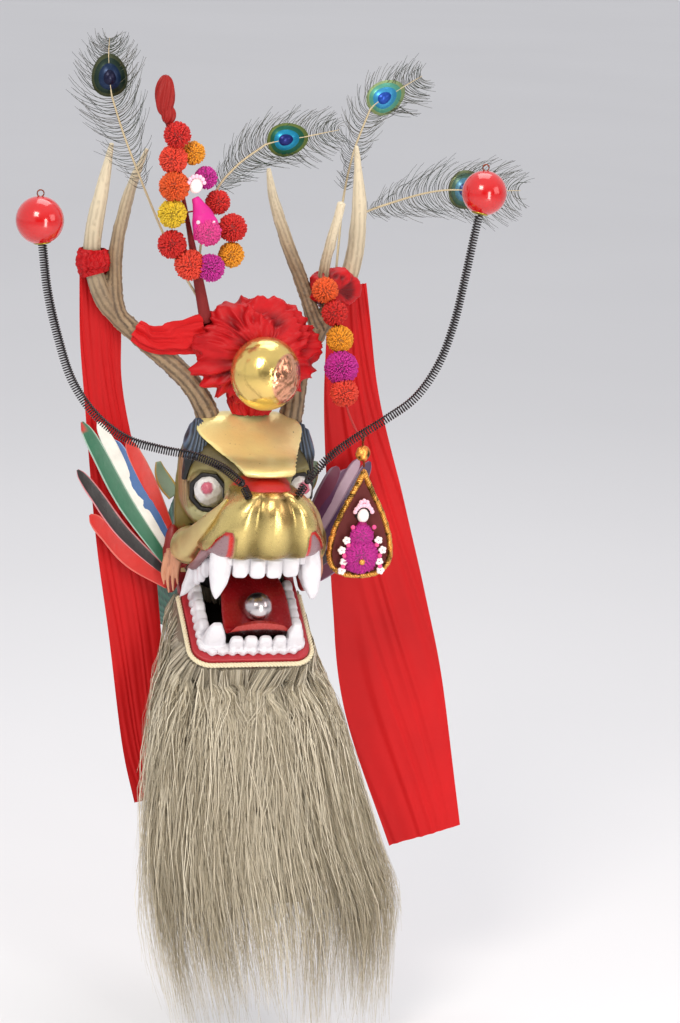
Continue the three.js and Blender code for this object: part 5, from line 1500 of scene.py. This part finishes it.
STEM_ROWS = [
    # x, forward, up, radius
    (-57, -32, 184, 7), (-67, -24, 222, 5.5), (-86, -17, 300, 3), (-103, -18, 370, 2.5), (-111, -16, 398, 2.2),
]
red_thread = plain("red_thread", "#7a1414", 0.75)
red_wire = plain("red_wire", "#a01c1a", 0.5)
stem_fine = finer(STEM_ROWS, 40)
stem_path = at(*stem_fine[:, :3].T)
stem_even, stem_stops = evenly(stem_path, 0.4)
stem_radius = np.interp(np.linspace(0, 1, len(stem_even)), np.linspace(0, 1, len(stem_fine)), stem_fine[:, 3])
wound = swept(stem_even, stem_radius - 0.25 + 0.25 * np.cos(stem_stops * 2 * math.pi / 1.6), 14)
wires = []
for x, forward, up, radius, _ in SPRAY_POMPOMS:
    centre = at(x, forward, up)
    hold = stem_path[np.abs(stem_path[:, 2] + 12 * MM - centre[2]).argmin()]
    middle = (hold + centre) / 2 + np.array([0, 0, -2]) * MM
    wires.append(swept(curve(rows_of(np.stack([hold, middle, centre])), 8), 0.9, 8))
piece("spray_stem", wound, red_thread, node="pompom_spray")
piece("spray_wires", join(*wires), red_wire, node="pompom_spray")
PIVOT = (112, 20, 68)
STRING_MM = 1.2
string_rows = [(82, -72, 234), (77, -52, 230), *[row[:3] for row in STRING_POMPOMS], (97, 8, 92), (102, 14, 79),
               (106, 18, 71), (PIVOT[0] - 3, *PIVOT[1:]), (PIVOT[0] + 4, *PIVOT[1:])]
piece("string_wire", swept(curve(string_rows, 8), STRING_MM, 10), red_wire, node="pompom_string")
finial_cloth = satin("finial_cloth", "#b02420", "#6d1512")
finial_bud = carve(egg(at(-115, -15, 428), (11, 8, 22), 40), egg(at(-110, -15, 407), (8, 7, 10), 32), voxel=1.0, rubs=3)
x, forward, up = millimetres(finial_bud[0])
finial_bud = pushed(finial_bud, 0.8 * np.sin(9 * np.arctan2(forward + 15, x + 114) + up / 6) - 0.5)
piece("finial_bud", finial_bud, finial_cloth, node="spray_finial")

# Dolls: small festival figures sewn from felt and satin scraps, one on the spray and one in the
# pendant. Each is a flat stuffed body with a ball for its head.
DOLL_ROWS = [(-70, 1, 277, 11, 5), (-71, 1, 298, 13, 6), (-77, 0, 314, 7, 6), (-81, -2, 322, 4, 4)]
rose_cloth = satin("rose_cloth", "#e2309a", "#b01a6e")
face_felt = plain("face_felt", "#f4e9e6", 0.8)
pale_felt = plain("pale_felt", "#f7c4d6", 0.75)


def beads(places, radius):
    """Small beads at places of x, forward and up in millimetres."""
    return join(*[egg(at(*place), (radius,) * 3, 12) for place in places])


def arc(x, forward, up, reach, first, last, count):
    """Places on an upright arc about a middle, from one degree to another, up being 90."""
    turn = np.radians(np.linspace(first, last, count))
    return [(x + reach * math.cos(a), forward, up + reach * math.sin(a)) for a in turn]


spray_doll = carve(bar(DOLL_ROWS, steps=8, sides=24), egg(at(-69, 5, 292), (14, 5, 15), 32), voxel=0.9, rubs=3)
piece("spray_doll_body", spray_doll, rose_cloth, node="spray_doll", keep=0.5)
piece("spray_doll_face", egg(at(-81, -1, 335), (7.5, 6, 8.5), 32), face_felt, node="spray_doll")
doll_skirt, masks = pompom(-67, 8, 286, 14, 76)
doll_skirt[0][:, 1] = (doll_skirt[0][:, 1] - at(0, 8, 0)[1]) * 0.4 + at(0, 8, 0)[1]
piece("spray_doll_skirt", doll_skirt, yarns["pink"], node="spray_doll", masks=masks)
piece("spray_doll_beads", beads(arc(-81, 3, 337, 8.5, 10, 170, 7) + arc(-70, 8, 300, 9, 200, 340, 5), 2.3), pale_felt,
      node="spray_doll")

# Pendant: a teardrop of board behind a rim of braided tinsel, with a doll on it and silk flowers. It
# hangs from its wire ring on the peg at the end of the pompom wire.
PENDANT = {"x": 115, "forward": 20, "top": 37, "bottom": -92, "half": 37.5, "widest": 26}
BEND_POINTS = 14


def teardrop(inset):
    """The pendant's outline: x from its middle and up from its bottom, in millimetres."""
    height = PENDANT["top"] - PENDANT["bottom"]
    wide, widest = PENDANT["half"] - inset, PENDANT["widest"]
    top = height - inset * 3
    t = np.linspace(0, 1, BEND_POINTS, endpoint=False)[:, None]

    def bend(a, b, c, d):
        """Points from a to d, drawn toward b and c."""
        a, b, c, d = map(np.array, (a, b, c, d))
        return (1 - t) ** 3 * a + 3 * (1 - t) ** 2 * t * b + 3 * (1 - t) * t ** 2 * c + t ** 3 * d

    right = np.vstack([bend((0, inset), (wide * 0.9, inset), (wide, widest * 0.7), (wide, widest + 4)),
                       bend((wide, widest + 4), (wide * 0.95, height * 0.5), (wide * 0.3, height * 0.72), (0, top))])
    left = (right * (-1, 1))[:0:-1]
    return np.vstack([right, [(0, top)], left])


def on_pendant(points, forward):
    """Points of the outline in metres, that far in front of the pendant's middle."""
    return at(PENDANT["x"] + points[:, 0], PENDANT["forward"] + forward, PENDANT["bottom"] + points[:, 1])


outline = on_pendant(teardrop(3), 0)
tinsel = gold_leaf("tinsel", "#e8ac54", "#d27438", 0.3)
rim_path = np.vstack([outline, outline[:1]])
rim_strands = join(*[coiled(rim_path, 1.9, 8, 1.5, 6, 14, strand * 2 * math.pi / 3) for strand in range(3)])
rim_strands = pushed(rim_strands, 0.7 * bumps(rim_strands[0], 2.5, 8))
piece("pendant_rim", rim_strands, tinsel, "pendant", node="pendant_frame",
      masks={"cut": 0.8 * step_at(bumps(rim_strands[0], 4, 9), 0.25, 0.3)})
hanger_rows = [(*PIVOT[:2], 62.5), (113, PIVOT[1], 49), (PENDANT["x"], PENDANT["forward"], 33)]
hanger = swept(curve(hanger_rows, 8), 1.3, 10)
angle = np.linspace(0, 2 * math.pi, 41)
RING_MM, RING_WIRE_MM, RING_GAP_MM = 4, 1.1, 0.3
ring_centre = at(PIVOT[0], PIVOT[1], PIVOT[2] + STRING_MM + RING_GAP_MM + RING_WIRE_MM - RING_MM)
ring_way = np.stack([0 * angle, np.cos(angle), np.sin(angle)], -1)
ring = swept(ring_centre + RING_MM * ring_way * MM, 1.0, 8, wide=(1.0, 0, 0))
piece("pendant_hanger", join(hanger, ring), loop_wire, "pendant", node="pendant_frame")
knot = carve(egg(at(113, 20, 48), (8, 4.5, 9), 32), voxel=0.8, rubs=1)
knot = pushed(knot, 0.9 * bumps(knot[0], 3.5, 3))
# its low points are darkened as painted shade
piece("pendant_knot", knot, tinsel, "pendant", node="pendant_frame",
      masks={"cut": step_at(-bumps(knot[0], 3.5, 3), 0.3, 0.3)})
backing_card = plain("backing_card", "#5c1a18", 0.8)
drop = teardrop(6.3)
piece("pendant_card", skin([on_pendant(drop, -2), on_pendant(drop, 1)]), backing_card, "pendant",
      node="pendant_backing", flat=True)
DRESS_ROWS = [(-1, 6, 11, 16, 4), (-1, 6, 35, 15, 5), (-1, 6, 53, 9, 5), (0, 6, 65, 4, 4)]
dress_rows = [(PENDANT["x"] + x, PENDANT["forward"] + f, PENDANT["bottom"] + z, *halves)
              for x, f, z, *halves in DRESS_ROWS]
magenta_cloth = satin("magenta_cloth", "#b81f74", "#7a1050")
dress = bar(dress_rows, steps=12, sides=64, power=2.4)
x, forward, up = millimetres(dress[0])
dress = pushed(dress, 0.7 * np.sin((x - 115) * 1.15) * step_at(-up, 40, 20))
middle, bottom = PENDANT["x"], PENDANT["bottom"]
head_centre = at(middle, PENDANT["forward"] + 6, bottom + 72)
crown = beads(arc(middle, 28, bottom + 74, 10, 15, 165, 9) + arc(middle, 28, bottom + 84, 5, 0, 180, 5)
              + arc(middle, 28, bottom + 52, 11, 200, 340, 7), 2.5)
petals = beads([place for s in (-1, 1) for x, z in ((20, 21), (23, 34), (18, 45), (22, 11))
                for place in arc(middle + s * x, 30, bottom + z, 2.6, 20 * z, 20 * z + 288, 5)], 2.2)
buds = beads([(middle + s * x, 31, bottom + z) for s in (-1, 1)
              for x, z in ((20, 28), (16, 40), (12, 60), (21, 16))], 2.6)
DOLL_PIECES = [
    ("dress", dress, magenta_cloth), ("head", egg(head_centre, (6.5, 5, 8), 40), face_felt),
    ("hair", egg(head_centre + np.array([0, 2, 2]) * MM, (9, 4, 9), 32), plain("hair_felt", "#1f1618", 0.8)),
    ("crown", crown, pale_felt), ("flowers", petals, face_felt), ("buds", buds, plain("rose_felt", "#e8508c", 0.75)),
]
for name, form, cloth in DOLL_PIECES:
    piece(f"pendant_{name}", form, cloth, "pendant", node="pendant_doll")
for part, up_at, radius, seed in (("skirt", 27, 19, 77), ("sleeves", 50, 13, 78)):
    disc, masks = pompom(middle - 1, PENDANT["forward"] + 10, bottom + up_at, radius, seed)
    disc[0][:, 1] = (disc[0][:, 1] - at(0, 30, 0)[1]) * 0.3 + at(0, 30, 0)[1]
    piece(f"pendant_{part}", disc, yarns["magenta"], "pendant", node="pendant_doll", masks=masks)
bead = egg(at(middle - 1, PENDANT["forward"] + 16, bottom + 22), (3.4, 2.5, 3.4), 24)
piece("pendant_bead", bead, tinsel, "pendant", node="pendant_doll")

# Feathers: four peacock eye feathers. Curved barbs run off a pale quill, green and bronze, and close
# up into the eye: a bronze rim, a turquoise ring and a dark blue heart.
FEATHERS = [
    # points along the quill, then [x, forward, up, half width] along the vane
    ([(-63, -28, 203), (-95, -36, 255), (-125, -46, 320), (-150, -52, 380), (-165, -50, 421)],
     [(-128, -47, 325, 12), (-150, -52, 380, 32), (-165, -50, 421, 36), (-170, -50, 460, 24), (-170, -50, 484, 8)]),
    ([(-65, -27, 210), (-65, -38, 262), (-50, -50, 318), (-26, -52, 350), (4, -50, 374)],
     [(-46, -51, 325, 12), (-24, -52, 352, 26), (4, -50, 374, 30), (50, -50, 384, 26), (86, -50, 392, 10)]),
    ([(98, -80, 226), (106, -104, 262), (112, -116, 310), (122, -120, 360), (138, -120, 407)],
     [(113, -117, 318, 8), (122, -120, 360, 18), (138, -120, 407, 30), (170, -120, 430, 26), (196, -120, 446, 10)]),
    ([(121, -94, 266), (126, -110, 288), (178, -120, 307), (228, -126, 318), (277, -130, 318)],
     [(140, -114, 294, 8), (184, -121, 309, 30), (235, -127, 319, 34), (277, -130, 318, 34), (322, -130, 319, 14)]),
]
EYE_SHARE, BARBS, BARB_MM = 0.62, 96, 0.4


def barb_material():
    """Barbs shine from green through bronze to violet with the angle, as thin films do."""
    material, tree, film = new_film("barb_film")
    own = add_node(tree, "ShaderNodeAttribute", attribute_name="own").outputs["Fac"]
    facing = add_node(tree, "ShaderNodeLayerWeight", {"Blend": 0.4}).outputs["Facing"]
    tone = linear("#24402e")
    for amount, paint in ((own, "#4d4a2e"), (facing, "#3a2440")):
        tone = add_node(tree, "ShaderNodeMix", {0: amount, 6: tone, 7: linear(paint)}, data_type="RGBA").outputs[2]
    tree.links.new(tone, film.inputs["Base Color"])
    film.inputs["Metallic"].default_value = 0.2
    film.inputs["Roughness"].default_value = 0.42
    return material


barb_film = barb_material()
quill_horn = plain("quill_horn", "#b9a988", 0.5)
EYE_LAYERS = [
    # half width share, half length and lift in mm
    (0.62, 23, 0.35), (0.53, 19, 0.6), (0.38, 14, 0.85), (0.21, 8, 1.1),
]
EYE_TONES = [
    # for each feather: rim, ring, eye, heart. The four are one eye's colours, darker on the first feather,
    # paler on the third and greyer on the fourth, as painted shade and light
    ("#3f452c", "#1d3026", "#142a4a", "#0c0f30"), ("#66763a", "#1f5f48", "#1787ad", "#12206a"),
    ("#93a874", "#5ba38c", "#3a93c4", "#1c49a8"), ("#6a7350", "#476455", "#4d7d94", "#33406e"),
]
for number, (quill, vane) in enumerate(FEATHERS, 1):
    vane_fine = finer(vane, 60)
    along_vane = at(*vane_fine[:, :3].T)
    quill_points = curve(quill, 16)
    beyond = np.linalg.norm(along_vane - quill_points[-1], axis=1).argmin() + 6
    joined = np.vstack([quill_points, along_vane[beyond:]])
    size = np.linspace(1.5, 0.35, len(joined))
    piece(f"quill_{number}", swept(joined, size, 8), quill_horn, node=f"feather_{number}")
    random = np.random.default_rng(60 + number)
    direction, aside = along_and_aside(along_vane)
    forms, own = [], []
    for i in range(BARBS):
        for s in (-1, 1):
            place = min(len(along_vane) - 2, int((i + random.uniform(0, 0.8)) / BARBS * (len(along_vane) - 2)))
            half = vane_fine[place, 3]
            reach, flick = half * random.uniform(0.8, 1.3), random.normal(0, 1, 3)
            t = np.linspace(0, 1, 8)[:, None]
            path = (along_vane[place] + s * aside[place] * (reach * MM) * (t ** 0.85 - 0.12 * t ** 3)
                    + direction[place] * (half * random.uniform(0.7, 1.1) * MM) * t ** 1.6
                    + np.array([flick[0] * 3, flick[1] * 2, flick[2] * 3 - 2]) * MM * t ** 2)
            forms.append(swept(path, BARB_MM * np.linspace(1, 0.45, 8), 3))
            own += [random.uniform(0, 1)] * len(forms[-1][0])
    piece(f"barbs_{number}", join(*forms), barb_film, node=f"feather_{number}", masks={"own": own})
    middle = int(EYE_SHARE * len(along_vane))
    for layer, (share, long, lift) in enumerate(EYE_LAYERS):
        eye_film = plain(f"eye_film_{number}_{layer + 1}", EYE_TONES[number - 1][layer], 0.34, 0.5)
        turn = np.linspace(0, 2 * math.pi, 48, endpoint=False)
        half = vane_fine[middle, 3] * share
        shape = (np.cos(turn)[:, None] * aside[middle] * half + np.sin(turn)[:, None] * direction[middle]
                 * long * (1 + 0.15 * np.sin(turn))[:, None]) * MM + along_vane[middle]
        shape[:, 1] -= lift * MM
        back = shape.copy()
        back[:, 1] += 0.2 * MM
        piece(f"eye_{number}_{layer + 1}", skin([back, shape]), eye_film, node=f"feather_{number}")
